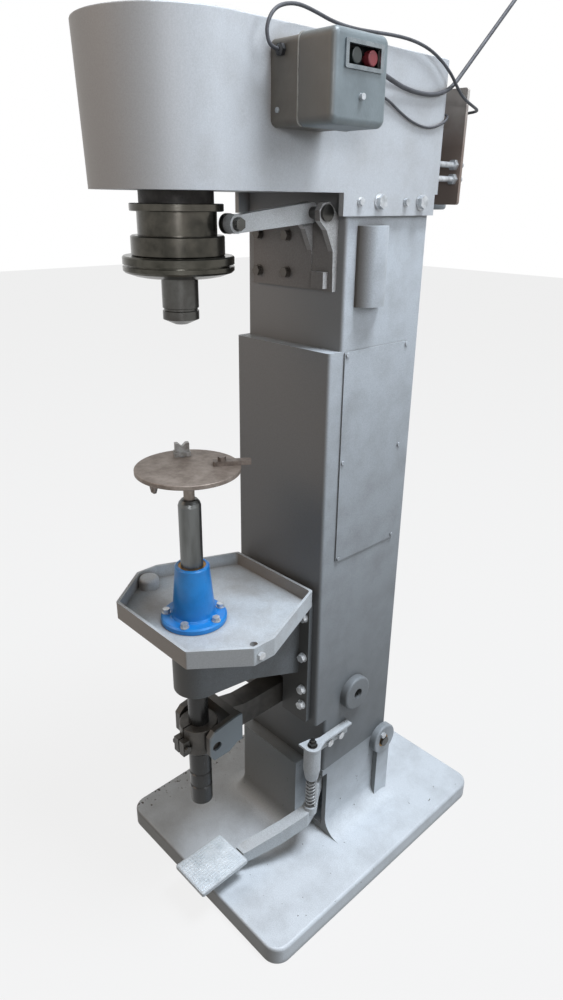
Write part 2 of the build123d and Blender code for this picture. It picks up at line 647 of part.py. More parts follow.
def lever_roller():
    """Roller for the collar's groove, on a stud with its head on the lever's outer face."""
    inner = LEVER_X - LEVER_WIDTH / 2
    outer = LEVER_X + LEVER_WIDTH / 2
    roller = rod_x(ROLLER_R, inner - ROLLER_WIDTH, inner - 0.5, ROLLER_Y, ROLLER_Z)
    stud = rod_x(ROLLER_PIN_R, inner - 1, outer, ROLLER_Y, ROLLER_Z)
    return roller + stud + along_x(hex_head(17, 7, 10, 1.6), outer, ROLLER_Y, ROLLER_Z)


# Motor behind the head, on a plate that slides back on bolts to tension the belt
def motor_plate():
    back = MOTOR_PLATE_Y
    plate = block(-MOTOR_PLATE_HALF, MOTOR_PLATE_HALF, back - MOTOR_PLATE_THICK, back,
                  MOTOR_PLATE_BOTTOM, MOTOR_PLATE_TOP)
    plate = fillet(plate.edges().filter_by(Axis.Y), 5)
    plate -= block(-BELT_WINDOW_HALF, BELT_WINDOW_HALF, back - MOTOR_PLATE_THICK - 1, back + 1,
                   BELT_WINDOW_BOTTOM, BELT_WINDOW_TOP)
    for x in (-TENSION_BOLTS_X, TENSION_BOLTS_X):
        for z in TENSION_BOLTS_Z:
            plate -= rod_y(STUD_R, back - MOTOR_PLATE_THICK - 1, back + 1, x, z)
    return plate


def tension_bolts():
    pieces = []
    for x in (-TENSION_BOLTS_X, TENSION_BOLTS_X):
        for z in TENSION_BOLTS_Z:
            stud = rod_y(STUD_R, HEAD_REAR - HEAD_REAR_CORNER, MOTOR_PLATE_Y + 16, x, z)
            front_nut = Pos(x, MOTOR_PLATE_Y - MOTOR_PLATE_THICK, z) * Rot(90, 0, 0) * hex_head(17, 8)
            rear_nut = Pos(x, MOTOR_PLATE_Y, z) * Rot(-90, 0, 0) * hex_head(17, 8)
            pieces.append(stud + front_nut + rear_nut)
    return pieces


def motor_body():
    outline = Circle(MOTOR_R - FIN_HEIGHT)
    for i in range(FIN_COUNT):
        outline += Rot(0, 0, 360 / FIN_COUNT * i) * Pos(MOTOR_R - FIN_HEIGHT / 2 - 1, 0) * Rectangle(FIN_HEIGHT + 2, 2.6)
    body = extrude(Plane.XY.offset(MOTOR_BOTTOM + 30) * (Pos(0, MOTOR_Y) * outline),
                   MOTOR_TOP - MOTOR_BOTTOM - 48)
    fan_cowl = rod_z(MOTOR_R, MOTOR_BOTTOM, MOTOR_BOTTOM + 30, 0, MOTOR_Y)
    fan_cowl = fillet(fan_cowl.edges().sort_by(Axis.Z)[0], 6)
    end_shield = rod_z(MOTOR_R, MOTOR_TOP - 18, MOTOR_TOP, 0, MOTOR_Y)
    end_shield = fillet(end_shield.edges().sort_by(Axis.Z)[-1], 8)
    foot = block(-44, 44, MOTOR_PLATE_Y, MOTOR_PLATE_Y + 10, MOTOR_BOTTOM + 38, MOTOR_TOP - 18)
    web_left = block(-40, -28, MOTOR_PLATE_Y + 5, MOTOR_Y - 20, MOTOR_BOTTOM + 42, MOTOR_TOP - 22)
    motor = body + fan_cowl + end_shield + foot + web_left + mirror_x(web_left)
    return motor - rod_z(MOTOR_SHAFT_R + 0.5, MOTOR_TOP - 12, MOTOR_TOP + 1, 0, MOTOR_Y)


def terminal_box():
    box = block(MOTOR_R - 6, MOTOR_R + 22, MOTOR_Y - 28, MOTOR_Y + 22, MOTOR_BOTTOM + 54, TERMINAL_TOP)
    box = fillet(box.edges().filter_by(Axis.X), 5)
    return box - rod_z(MOTOR_R + 0.1, MOTOR_BOTTOM, MOTOR_TOP, 0, MOTOR_Y)


def motor_rotor():
    """The small pulley keyed on the motor's shaft end."""
    pulley = Pos(0, MOTOR_Y, 0) * grooved_pulley(SMALL_PULLEY_R, MOTOR_SHAFT_R, 14, BELT_Z + 14, 0)
    return pulley + rod_z(MOTOR_SHAFT_R, MOTOR_TOP - 11, BELT_Z + 16, 0, MOTOR_Y)


# Starter box with its push buttons
def starter_shell(x0, x1, inset):
    """A block with rounded long edges, smaller than the starter's outline by inset all round."""
    half_y = STARTER_WIDTH / 2 - inset
    half_z = STARTER_HEIGHT / 2 - inset
    outer = block(x0, x1, STARTER_Y - half_y, STARTER_Y + half_y, STARTER_Z - half_z, STARTER_Z + half_z)
    return fillet(outer.edges().filter_by(Axis.X), STARTER_EDGE - inset)


def starter_base():
    x0 = HEAD_HALF
    x1 = x0 + STARTER_BASE_DEPTH
    outer = starter_shell(x0, x1, STARTER_STEP)
    return outer - starter_shell(x0 + STARTER_WALL, x1 + 1, STARTER_STEP + STARTER_WALL)


def starter_cover():
    x0 = HEAD_HALF + STARTER_BASE_DEPTH
    outer = starter_shell(x0, starter_face(), 0)
    outer = fillet(outer.faces().sort_by(Axis.X)[-1].edges(), 9)
    rim = fillet(outer.faces().sort_by(Axis.X)[0].edges(), 1.2)
    cover = rim - starter_shell(x0 - 1, starter_face() - STARTER_WALL, STARTER_WALL)
    y, z, width, height = WINDOW
    cover -= block(x0 + STARTER_COVER_DEPTH - STARTER_WALL - 5, x0 + STARTER_COVER_DEPTH + 1,
                   y - width / 2 + 6, y + width / 2 - 6, z - height / 2 + 5, z + height / 2 - 5)
    return cover


def starter_face():
    return HEAD_HALF + STARTER_BASE_DEPTH + STARTER_COVER_DEPTH


def window_bezel():
    x = starter_face()
    y, z, width, height = WINDOW
    outer = block(x, x + 2.5, y - width / 2, y + width / 2, z - height / 2, z + height / 2)
    outer = fillet(outer.edges().filter_by(Axis.X), 3)
    return outer - block(x - 1, x + 4, y - width / 2 + 6, y + width / 2 - 6, z - height / 2 + 5, z + height / 2 - 5)


def contactor():
    """The contactor and overload relay block inside the starter, with the buttons' guide plate."""
    x0 = HEAD_HALF + STARTER_WALL
    body = block(x0, x0 + 84, STARTER_Y - 34, STARTER_Y + 34, STARTER_Z - 42, STARTER_Z + 12)
    plate_x = starter_face() - 16
    plate = block(x0 + 50, plate_x, STARTER_Y - 42, STARTER_Y + 42, STARTER_Z + 8, STARTER_Z + 44)
    block_all = body + plate
    for y in BUTTON_Y:
        block_all -= rod_x(BUTTON_R - 4 + BODY_GAP, plate_x - 12, plate_x + 1, y, WINDOW[1])
    return block_all


def button(y):
    face = starter_face()
    cap = rod_x(BUTTON_R, face - 10, face - 1, y, WINDOW[1])
    cap = fillet(cap.edges().sort_by(Axis.X)[-1], 1.5)
    stem = rod_x(BUTTON_R - 4, face - 22, face - 9, y, WINDOW[1])
    return cap + stem


def starter_screws():
    knob = along_x(Cylinder(4, 5, align=(Align.CENTER, Align.CENTER, Align.MIN)), starter_face(), STARTER_Y,
                   STARTER_Z - 20)
    side = facing_front(Cylinder(3.5, 2, align=(Align.CENTER, Align.CENTER, Align.MIN)),
                        HEAD_HALF + 14, STARTER_Y - STARTER_WIDTH / 2 + STARTER_STEP, STARTER_Z - 33)
    return [knob, side]


# Table: a cast drip tray on a knee bolted to the column's slideway
def tray_points(inset):
    """The tray's eight-sided outline, moved in by inset."""
    k = inset * 0.45
    return [(-TRAY_FRONT_HALF + k, TRAY_FRONT + inset), (TRAY_FRONT_HALF - k, TRAY_FRONT + inset),
            (TRAY_SIDE_HALF - inset, TRAY_SIDE_FRONT + k), (TRAY_SIDE_HALF - inset, TRAY_SIDE_REAR - k),
            (TRAY_REAR_HALF - k, TRAY_REAR - inset), (-TRAY_REAR_HALF + k, TRAY_REAR - inset),
            (-TRAY_SIDE_HALF + inset, TRAY_SIDE_REAR - k), (-TRAY_SIDE_HALF + inset, TRAY_SIDE_FRONT + k)]


def table_tray():
    bottom = TRAY_RIM_TOP - TRAY_HEIGHT
    floor = bottom + TRAY_FLOOR
    tray = plate_xy(tray_points(0), bottom, TRAY_RIM_TOP)
    tray = fillet(tray.edges().filter_by(Axis.Z), 5)
    hollow = plate_xy(tray_points(TRAY_WALL), floor, TRAY_RIM_TOP + 1)
    hollow = fillet(hollow.edges().filter_by(Axis.Z), 8)
    tray -= hollow
    lug = rod_z(LUG_R, bottom, TRAY_RIM_TOP - 3, *LUG)
    tray += fillet(lug.edges().sort_by(Axis.Z)[-1], 8)
    tray -= rod_z(KNEE_NOSE_R - 10, bottom - 1, floor + 1)
    tray -= rod_z(DRAIN_R, bottom - 1, floor + 1, *DRAIN)
    return tray


def knee_bracket():
    table = TRAY_RIM_TOP - TRAY_HEIGHT
    front = SLIDEWAY_FRONT - KNEE_FLANGE_THICK

    def plan(inset):
        r = KNEE_NOSE_R - inset
        half = KNEE_REAR_HALF - inset
        rear = front - inset * 0.5
        nose = ThreePointArc((-r, 0), (0, -r), (r, 0))
        return make_face([nose, Line((r, 0), (half, rear)), Line((half, rear), (-half, rear)),
                          Line((-half, rear), (-r, 0))])

    body = extrude(Plane.XY.offset(KNEE_BOTTOM_REAR) * plan(0), table - KNEE_BOTTOM_REAR)
    body -= plate_yz([(-100, KNEE_BOTTOM_REAR - 40), (front + 1, KNEE_BOTTOM_REAR - 40),
                      (front + 1, KNEE_BOTTOM_REAR), (90, KNEE_BOTTOM), (-100, KNEE_BOTTOM)], -200, 200)
    hollow = extrude(Plane.XY.offset(KNEE_BOTTOM_REAR - 1) * plan(KNEE_WALL), table - KNEE_WALL - KNEE_BOTTOM_REAR)
    hollow -= rod_z(KNEE_NOSE_R + 2, KNEE_BOTTOM_REAR - 2, table)
    body -= hollow
    flange = block(-KNEE_FLANGE_HALF, KNEE_FLANGE_HALF, front, SLIDEWAY_FRONT, KNEE_FLANGE_BOTTOM, table)
    flange = fillet(flange.edges().filter_by(Axis.Y), 6)
    slot_half = FORK_ARM_HALF + 8
    flange -= block(-slot_half, slot_half, front - 1, SLIDEWAY_FRONT + 1, KNEE_FLANGE_BOTTOM - 1, FORK_PIVOT_Z + 52)
    top_plate = rod_z(GUIDE_FLANGE_R + 6, table - 14, table)
    knee = body + flange + top_plate
    knee -= rod_z(BUSH_R, KNEE_BOTTOM_REAR - 1, table + 1)
    return knee


def column_bolts():
    """Hexagon bolts of knee, lever bracket, spring bracket and shaft keeper, and the tray's plug."""
    head = hex_head(BOLT_ACROSS, BOLT_HEAD, WASHER_R, WASHER)
    front = SLIDEWAY_FRONT - KNEE_FLANGE_THICK
    bolts = [facing_front(head, side * KNEE_BOLT_X, front, z) for side in (-1, 1) for z in KNEE_BOLT_Z]
    front = COLUMN_FRONT - LEVER_PLATE_THICK
    bolts += [facing_front(head, x, front, z) for x, z in LEVER_PLATE_BOLTS]
    bolts += [along_x(head, COLUMN_HALF + 5, y, SPRING_BRACKET_TOP - 21) for y in (258, 294)]
    small = hex_head(13, 6)
    bolts.append(along_x(small, COLUMN_HALF + SIDE_BOSS, *KEEPER_BOLT))
    bolts.append(along_x(small, TRAY_SIDE_HALF, *TRAY_PLUG))
    return bolts


def guide_housing():
    bottom = TRAY_RIM_TOP - TRAY_HEIGHT + TRAY_FLOOR
    top = bottom + GUIDE_FLANGE
    r = GUIDE_FLANGE_R
    return turned([(BUSH_R, bottom), (r - 1, bottom), (r, bottom + 1), (r, top - 3), (r - 3, top),
                   (GUIDE_FOOT_R + 3, top), (GUIDE_FOOT_R, top + 5), (GUIDE_TOP_R + 0.5, GUIDE_TOP - 12),
                   (GUIDE_TOP_R, GUIDE_TOP - 2), (GUIDE_TOP_R - 2, GUIDE_TOP), (BUSH_R, GUIDE_TOP)])


def guide_bolts():
    top = TRAY_RIM_TOP - TRAY_HEIGHT + TRAY_FLOOR + GUIDE_FLANGE
    head = hex_head(13, 7, 8.5, 1.6)
    return [Rot(0, 0, a) * Pos(GUIDE_BOLT_PCD / 2, 0, top) * head for a in GUIDE_BOLT_ANGLES]


def guide_bushes():
    bottom = TRAY_RIM_TOP - TRAY_HEIGHT + TRAY_FLOOR
    bore = SHAFT_R + RUN
    upper = turned([(bore, bottom + 40), (BUSH_R, bottom + 40), (BUSH_R, GUIDE_TOP - 1), (bore, GUIDE_TOP - 1)])
    lower = turned([(bore, KNEE_BOTTOM + 1), (BUSH_R, KNEE_BOTTOM + 1), (BUSH_R, KNEE_BOTTOM + 60),
                    (bore, KNEE_BOTTOM + 60)])
    return [upper, lower]


# Lift shaft with the can plate that turns freely on its top
def lift_shaft():
    dome = 12.0
    bore = STEM_R + RUN
    r = SHAFT_END_R
    lower = [(0, SHAFT_BOTTOM), (r - 3, SHAFT_BOTTOM), (r, SHAFT_BOTTOM + 3)]
    for z in SHAFT_GROOVES:
        lower += [(r, z - 3), (r - 2, z - 1.5), (r - 2, z + 1.5), (r, z + 3)]
    return turned([*lower, (SHAFT_END_R, SHAFT_SHOULDER), (SHAFT_R, SHAFT_SHOULDER), (SHAFT_R, SHAFT_TOP - dome),
                   (SHAFT_R - 2, SHAFT_TOP - dome * 0.5), (SHAFT_R - 6, SHAFT_TOP - 1), (SHAFT_R - 8, SHAFT_TOP),
                   (bore, SHAFT_TOP), (bore, SHAFT_TOP - STEM_DEPTH - 1), (0, SHAFT_TOP - STEM_DEPTH - 1)])


def lift_collar():
    """Split clamp collar on the lift shaft with the two trunnions that the fork carries."""
    low = TRUNNION_Z - LIFT_COLLAR_HALF
    high = TRUNNION_Z + LIFT_COLLAR_HALF
    collar = rod_z(LIFT_COLLAR_R, low, high)
    collar = fillet(collar.edges().filter_by(GeomType.CIRCLE), 3)
    collar += block(-16, 16, -52, -20, low + 4, high - 22)
    collar -= rod_z(SHAFT_R, low - 1, high + 1)
    collar -= block(-1.5, 1.5, -60, 0, low - 1, high + 1)
    trunnions = rod_x(TRUNNION_R, -FORK_CHEEK_OUTER + 7, FORK_CHEEK_OUTER - 7, 0, TRUNNION_Z)
    trunnions -= rod_z(SHAFT_R + 8, low, high)
    clamp_bolt = along_x(hex_head(13, 6), 16, -44, low + 21)
    clamp_nut = Pos(-16, -44, low + 21) * Rot(0, -90, 0) * hex_head(13, 7)
    return collar + trunnions + clamp_bolt + clamp_nut


def can_plate():
    bottom = PLATE_TOP - PLATE_THICK
    plate = turned([(0, bottom), (PLATE_R - 1, bottom), (PLATE_R, bottom + 1), (PLATE_R, PLATE_TOP - 1),
                    (PLATE_R - 1, PLATE_TOP), (0, PLATE_TOP)])
    hub = turned([(0, bottom - PLATE_HUB), (PLATE_HUB_R - 3, bottom - PLATE_HUB), (PLATE_HUB_R, bottom - PLATE_HUB + 6),
                  (PLATE_HUB_R, bottom - 6), (PLATE_HUB_R + 8, bottom), (0, bottom)])
    stem = rod_z(STEM_R, SHAFT_TOP - STEM_DEPTH, bottom - PLATE_HUB)
    plate += hub + stem
    for angle, radius in (V_STOP, ARM_STOP):
        plate -= stop_slot(angle, radius)
    return plate


def stop_slot(angle, radius):
    """The radial slot that a can stop's clamp screw slides in."""
    slot = SlotCenterToCenter(2 * STOP_TRAVEL, STOP_SLOT)
    cutter = extrude(Plane.XY.offset(PLATE_TOP - PLATE_THICK - 1) * slot, PLATE_THICK + 2)
    return Rot(0, 0, angle) * Pos(radius, 0, 0) * cutter


def v_stop():
    """Can stop with a V face, clamped through a slot in the plate."""
    base_z = PLATE_TOP + 0.1
    profile = [(-13, 0), (13, 0), (13, 24), (7, 24), (0, 17), (-7, 24), (-13, 24)]
    wedge = extrude(Plane.YZ.offset(-6) * make_face(Polyline(*profile, close=True)), 12)
    step = block(-10, 10, -15, 15, 0, 8)
    body = Pos(0, 0, base_z) * (wedge + step)
    body += rod_z(3.9, PLATE_TOP - PLATE_THICK - 10, base_z + 1)
    nut_z = PLATE_TOP - PLATE_THICK - 0.1
    body += Pos(0, 0, nut_z - 6) * hex_head(13, 6)
    return Rot(0, 0, V_STOP[0]) * Pos(V_STOP[1], 0, 0) * body


def arm_stop():
    """Long can stop that reaches past the plate's rim, with its clamp screw."""
    base_z = PLATE_TOP + 0.1
    bar = block(-16, 52, -8, 8, base_z, base_z + 8)
    bar = fillet(bar.edges().filter_by(Axis.Z), 3)
    cap = Pos(0, 0, base_z + 8) * hex_head(13, 6, 8, 1.5)
    body = bar + cap + rod_z(3.9, PLATE_TOP - PLATE_THICK - 10, base_z + 1)
    nut_z = PLATE_TOP - PLATE_THICK - 0.1
    body += Pos(0, 0, nut_z - 6) * hex_head(13, 6)
    return Rot(0, 0, ARM_STOP[0]) * Pos(ARM_STOP[1], 0, 0) * body


def wing_screw():
    """Thumb screw under the plate's rim."""
    bottom = PLATE_TOP - PLATE_THICK
    body = rod_z(7, bottom - 8, bottom) + rod_z(4, bottom - 20, bottom - 8)
    outline = Polyline((-15, bottom - 3), (15, bottom - 3), (5, bottom - 24), (-5, bottom - 24), close=True)
    wings = extrude(Plane.YZ.offset(-2.5) * make_face(outline), 5)
    return Rot(0, 0, WING_ANGLE) * Pos(WING_RADIUS, 0, 0) * (body + wings)


# Lift linkage: fork lever, link and crank inside the column
def fork_lever():
    y0, z0 = FORK_PIVOT_Y, FORK_PIVOT_Z
    front, rear = FORK_CHEEK_FRONT, FORK_CHEEK_REAR
    hub = rod_x(FORK_HUB_R, -FORK_ARM_HALF, FORK_ARM_HALF, y0, z0)
    arm = plate_yz([(y0, z0 - 22), (y0, z0 + 30), (rear + 60, z0 + 32), (rear + 10, FORK_CHEEK_TOP - 4),
                    (rear + 10, FORK_CHEEK_BOTTOM + 8), (rear + 60, z0 - 22)], -FORK_ARM_HALF, FORK_ARM_HALF)
    tail = plate_yz([(y0, z0 - 18), (LINK_Y, z0 - 13), (LINK_Y, z0 + 13), (y0, z0 + 18)], -TAIL_HALF, TAIL_HALF)
    tail += rod_x(13, -TAIL_HALF, TAIL_HALF, LINK_Y, z0)
    cheek = plate_yz([(front, FORK_CHEEK_BOTTOM + 12), (front + 8, FORK_CHEEK_BOTTOM), (rear - 14, FORK_CHEEK_BOTTOM),
                      (rear + 22, FORK_CHEEK_BOTTOM + 20), (rear + 22, FORK_CHEEK_TOP), (rear, FORK_CHEEK_TOP),
                      (front + 12, FORK_CHEEK_TOP - 8), (front, FORK_CHEEK_TOP - 20)],
                     FORK_CHEEK_INNER, FORK_CHEEK_OUTER)
    bridge = block(-FORK_CHEEK_OUTER, FORK_CHEEK_OUTER, rear + 4, rear + 22, FORK_CHEEK_BOTTOM + 12, FORK_CHEEK_TOP - 2)
    slot = Plane.YZ * (Pos(0, TRUNNION_Z) * SlotCenterToCenter(3.0, 2 * (TRUNNION_R + BODY_GAP)))
    pin_slot = extrude(slot, 80, both=True)
    fork = hub + arm + tail + cheek + mirror_x(cheek) + bridge - pin_slot
    fork -= rod_x(FORK_SHAFT_R + RUN, -100, 100, y0, z0)
    fork -= rod_x(LINK_PIN_R + LINK_PLAY, -100, 100, LINK_Y, z0)
    return fork


def fork_shaft():
    end = COLUMN_HALF + SIDE_BOSS - 13
    shaft = rod_x(FORK_SHAFT_R, -end, end, FORK_PIVOT_Y, FORK_PIVOT_Z)
    start = FORK_ARM_HALF + BODY_GAP
    collar = rod_x(21, start, start + 14, FORK_PIVOT_Y, FORK_PIVOT_Z)
    shaft += collar
    shaft += mirror_x(collar)
    return shaft - rod_x(5, end - 18, end + 1, FORK_PIVOT_Y, FORK_PIVOT_Z)


def link_plates():
    inner = TAIL_HALF + BODY_GAP + 0.2
    plate = plate_yz([(LINK_Y - 10, PEDAL_PIVOT_Z), (LINK_Y - 10, FORK_PIVOT_Z), (LINK_Y + 10, FORK_PIVOT_Z),
                      (LINK_Y + 10, PEDAL_PIVOT_Z)], inner, inner + LINK_PLATE)
    for z in (PEDAL_PIVOT_Z, FORK_PIVOT_Z):
        plate += rod_x(10, inner, inner + LINK_PLATE, LINK_Y, z)
        plate -= rod_x(LINK_PIN_R, inner - 1, inner + LINK_PLATE + 1, LINK_Y, z)
    return [plate, mirror_x(plate)]


def link_pins():
    end = TAIL_HALF + BODY_GAP + 0.2 + LINK_PLATE
    pins = []
    for z in (PEDAL_PIVOT_Z, FORK_PIVOT_Z):
        pin = rod_x(LINK_PIN_R, -end - 3, end, LINK_Y, z)
        head = rod_x(LINK_PIN_R + 3, end, end + 3, LINK_Y, z)
        pins.append(pin + head)
    return pins


# Pedal: cross shaft in the foot, a swan-neck lever to the pad and a crank to the link
PEDAL_LINE = [(56.0, -34.0, 92.0), (58.0, 34.0, 92.0), (63.0, 60.0, 101.0), (104.0, 135.0, 144.0),
              (128.0, 192.0, 172.0), (121.0, 222.0, 184.0), (106.0, 243.0, 203.0), (97.0, 264.0, 215.0),
              (97.0, 330.0, 232.0), (97.0, 395.0, 243.0), (97.0, 452.0, 246.0)]
PEDAL_DEPTH = [16.0, 20.0, 30.0, 38.0, 38.0, 38.0, 44.0, 46.0, 44.0, 42.0, 40.0]


def pedal_lever():
    """The lever is where its bent plan strip and its rising side strip meet."""
    left = []
    right = []
    for i, (x, y, z) in enumerate(PEDAL_LINE):
        before = PEDAL_LINE[max(i - 1, 0)]
        after = PEDAL_LINE[min(i + 1, len(PEDAL_LINE) - 1)]
        dx = after[0] - before[0]
        dy = after[1] - before[1]
        length = sqrt(dx * dx + dy * dy)
        nx = dy / length * PEDAL_LEVER_HALF
        ny = -dx / length * PEDAL_LEVER_HALF
        right.append((x + nx, y + ny))
        left.append((x - nx, y - ny))
    plan_face = make_face(Polyline(*right, *reversed(left), close=True))
    plan_face = fillet(plan_face.vertices(), 8)
    plan = extrude(Plane.XY.offset(40) * plan_face, 260)
    top = [(y, z) for x, y, z in PEDAL_LINE]
    bottom = [(y, z - depth) for (x, y, z), depth in zip(PEDAL_LINE, PEDAL_DEPTH)]
    side = plate_yz(top + bottom[::-1], 0, 200)
    lever = plan & side
    x0 = PEDAL_LEVER_X - PEDAL_LEVER_HALF
    lever += rod_x(26, x0, x0 + 2 * PEDAL_LEVER_HALF, PEDAL_PIVOT_Y, PEDAL_PIVOT_Z) & block(
        0, 200, 300, COLUMN_BACK - COLUMN_WALL - 2, 0, 400)
    lever -= rod_x(PEDAL_SHAFT_R, -200, 200, PEDAL_PIVOT_Y, PEDAL_PIVOT_Z)
    lever -= block(-50, 200, PAD_FRONT, PAD_REAR + 4, PAD_TOP - PAD_THICK, PAD_TOP + 40)
    lever += rod_z(SPRING_R + 2, SPRING_BOTTOM - 20, SPRING_BOTTOM, SPRING_X, SPRING_Y)
    return lever - rod_z(SPRING_R + 3, SPRING_BOTTOM, SPRING_BOTTOM + 30, SPRING_X, SPRING_Y)


def pedal_pad():
    pad = block(PAD_X - PAD_WIDTH / 2, PAD_X + PAD_WIDTH / 2, PAD_FRONT, PAD_REAR, PAD_TOP - PAD_THICK, PAD_TOP)
    return fillet(pad.edges().filter_by(Axis.Z), 4)


def pedal_shaft():
    """The cross shaft with the crank arm welded on its middle."""
    end = COLUMN_HALF + SIDE_BOSS + 6
    return rod_x(PEDAL_SHAFT_R, -end, end, PEDAL_PIVOT_Y, PEDAL_PIVOT_Z) + crank_arm()


def pedal_bushes():
    start = COLUMN_HALF - COLUMN_WALL
    bush = rod_x(PEDAL_SHAFT_R + 4, start, COLUMN_HALF + SIDE_BOSS, PEDAL_PIVOT_Y, PEDAL_PIVOT_Z)
    bush -= rod_x(PEDAL_SHAFT_R + RUN, -200, 200, PEDAL_PIVOT_Y, PEDAL_PIVOT_Z)
    return [bush, mirror_x(bush)]


def crank_arm():
    y0, z0 = PEDAL_PIVOT_Y, PEDAL_PIVOT_Z
    rear = COLUMN_BACK - COLUMN_WALL - 2
    arm = plate_yz([(LINK_Y, z0 - 13), (y0, z0 - 20), (y0, z0 + 20), (LINK_Y, z0 + 13)], -TAIL_HALF, TAIL_HALF)
    arm += rod_x(13, -TAIL_HALF, TAIL_HALF, LINK_Y, z0)
    arm += rod_x(26, -TAIL_HALF, TAIL_HALF, y0, z0)
    arm = arm & block(-50, 50, 300, rear, 0, 400)
    return arm - rod_x(LINK_PIN_R + LINK_PLAY, -100, 100, LINK_Y, z0)


# Return spring and the bracket it hangs from
def spring_bracket():
    x0 = COLUMN_HALF
    top = SPRING_BRACKET_TOP
    leg = block(x0, x0 + 5, 236, 324, top - 34, top)
    shelf = block(x0, x0 + 17, 228, 324, top - 5, top)
    neck = plate_xy([(x0, 236), (x0 + 17, 236), (SPRING_X + EYE_R - 3, SPRING_Y + 8), (SPRING_X - EYE_R * 0.6, SPRING_Y + 14)],
                    top - 5, top)
    tip = (SPRING_X - EYE_R * 1.2, SPRING_Y - EYE_R * 0.95)
    point = plate_xy([(SPRING_X - EYE_R, SPRING_Y + 2), tip, (SPRING_X - 4, SPRING_Y - EYE_R + 1), (SPRING_X, SPRING_Y)],
                     top - 5, top)
    eye = rod_z(EYE_R, top - 5, top, SPRING_X, SPRING_Y)
    r = SPRING_CUP_R
    low = SPRING_TOP + 4
    cup = turned([(0, low), (SPRING_R, low), (SPRING_R + 2, low + 3), (r, low + 28), (r, top - 5), (0, top - 5)])
    bracket = leg + shelf + neck + eye + point + Pos(SPRING_X, SPRING_Y, 0) * cup
    return bracket - rod_z(6.5, low - 1, top + 1, SPRING_X, SPRING_Y)


def spring_rod():
    top = SPRING_BRACKET_TOP
    rod = rod_z(5, SPRING_TOP + 2, top + 16, SPRING_X, SPRING_Y)
    rod += Pos(SPRING_X, SPRING_Y, top) * hex_head(16, 8, 11, 2)
    rod += Pos(SPRING_X, SPRING_Y, SPRING_TOP) * Cylinder(9, 6)
    return rod


def return_spring():
    outer = rod_z(SPRING_R, SPRING_BOTTOM, SPRING_TOP - 3, SPRING_X, SPRING_Y)
    return outer - rod_z(SPRING_R - SPRING_WIRE, SPRING_BOTTOM - 1, SPRING_TOP, SPRING_X, SPRING_Y)


# Electric cables, as tubes along hand-chosen routes with rounded corners
SUPPLY_CABLE = 7.0
MOTOR_CABLE = 5.0
EARTH_WIRE = 4.0
SUPPLY_ROUTE = [(168, 202, 1628), (168, 232, 1628), (159, 272, 1626), (148, 312, 1621.5), (140.5, 354, 1615),
                (139.5, 400, 1611), (139.5, 446, 1613), (139.5, 488, 1627), (139.5, 522, 1658), (139.5, 668, 1790)]
MOTOR_ROUTE = [(156, 62, 1631), (156, 48, 1631.5), (156, 41, 1648), (155.5, 46.5, 1664.5), (153.5, 61, 1678),
               (150, 84, 1686), (145, 112, 1690), (138, 150, 1688), (132, 192, 1683), (132, 236, 1680.5),
               (138, 280, 1681), (141.5, 326, 1682.5), (142, 372, 1681.5), (142.5, 414, 1675), (144, 448, 1662),
               (147, 474, 1645), (147.5, 494, 1627), (147, 520, 1612), (145, 552, 1604), (136, 582, 1601),
               (116, 602, 1601), (92, 611, 1601), (70, 612.5, 1594), (62, 612, 1580), (62, 612, 1566)]
EARTH_ROUTE = [(148, 198, 1600), (148, 220, 1600), (145, 262, 1602), (140, 314, 1597), (137, 352, 1581),
               (137, 392, 1567), (137, 434, 1562), (137, 466, 1569), (136, 486, 1578), (128, 502, 1589),
               (106.5, 504, 1591)]
HOOK_R = 14.0
HOOK_WIRE = 3.2


def corner_radii(points):
    """At each inner point, the largest arc that leaves a tenth of the shorter run straight."""
    radii = []
    for before, here, after in zip(points, points[1:], points[2:]):
        a = Vector(*here) - Vector(*before)
        b = Vector(*after) - Vector(*here)
        half_turn = radians(a.get_angle(b)) / 2
        radii.append(0.45 * min(a.length, b.length) / tan(half_turn))
    return radii


def cord(points, diameter):
    path = FilletPolyline(*points, radius=corner_radii(points))
    section = Plane(origin=path @ 0, z_dir=path % 0) * Circle(diameter / 2)
    return sweep(section, path=path)


def gland(root_r, tip_r, length):
    """A cable gland that stands on Z=0: hexagon, collar and tapered sleeve."""
    nut = extrude(RegularPolygon(root_r, 6), 6)
    sleeve = Pos(0, 0, 6) * Cone(root_r * 0.8, tip_r, length - 6, align=(Align.CENTER, Align.CENTER, Align.MIN))
    return nut + sleeve


def cable_glands():
    rear = STARTER_Y + STARTER_WIDTH / 2 - STARTER_STEP
    front = STARTER_Y - STARTER_WIDTH / 2 + STARTER_STEP
    x, y, z = SUPPLY_ROUTE[0]
    supply = Pos(x, rear, z) * Rot(-90, 0, 0) * gland(10, SUPPLY_CABLE / 2 + 1, y - rear)
    x, y, z = EARTH_ROUTE[0]
    earth = Pos(x, rear, z) * Rot(-90, 0, 0) * gland(7, EARTH_WIRE / 2 + 1, y - rear)
    x, y, z = MOTOR_ROUTE[0]
    motor = Pos(x, front, z) * Rot(90, 0, 0) * gland(8, MOTOR_CABLE / 2 + 1, front - y)
    x, y, z = MOTOR_ROUTE[-1]
    terminal = Pos(x, y, TERMINAL_TOP) * gland(8, MOTOR_CABLE / 2 + 1, z - TERMINAL_TOP)
    lug = block(98, EARTH_ROUTE[-1][0], HEAD_REAR, HEAD_REAR + 7, EARTH_ROUTE[-1][2] - 5, EARTH_ROUTE[-1][2] + 5)
    return [supply, earth, motor, terminal, lug]


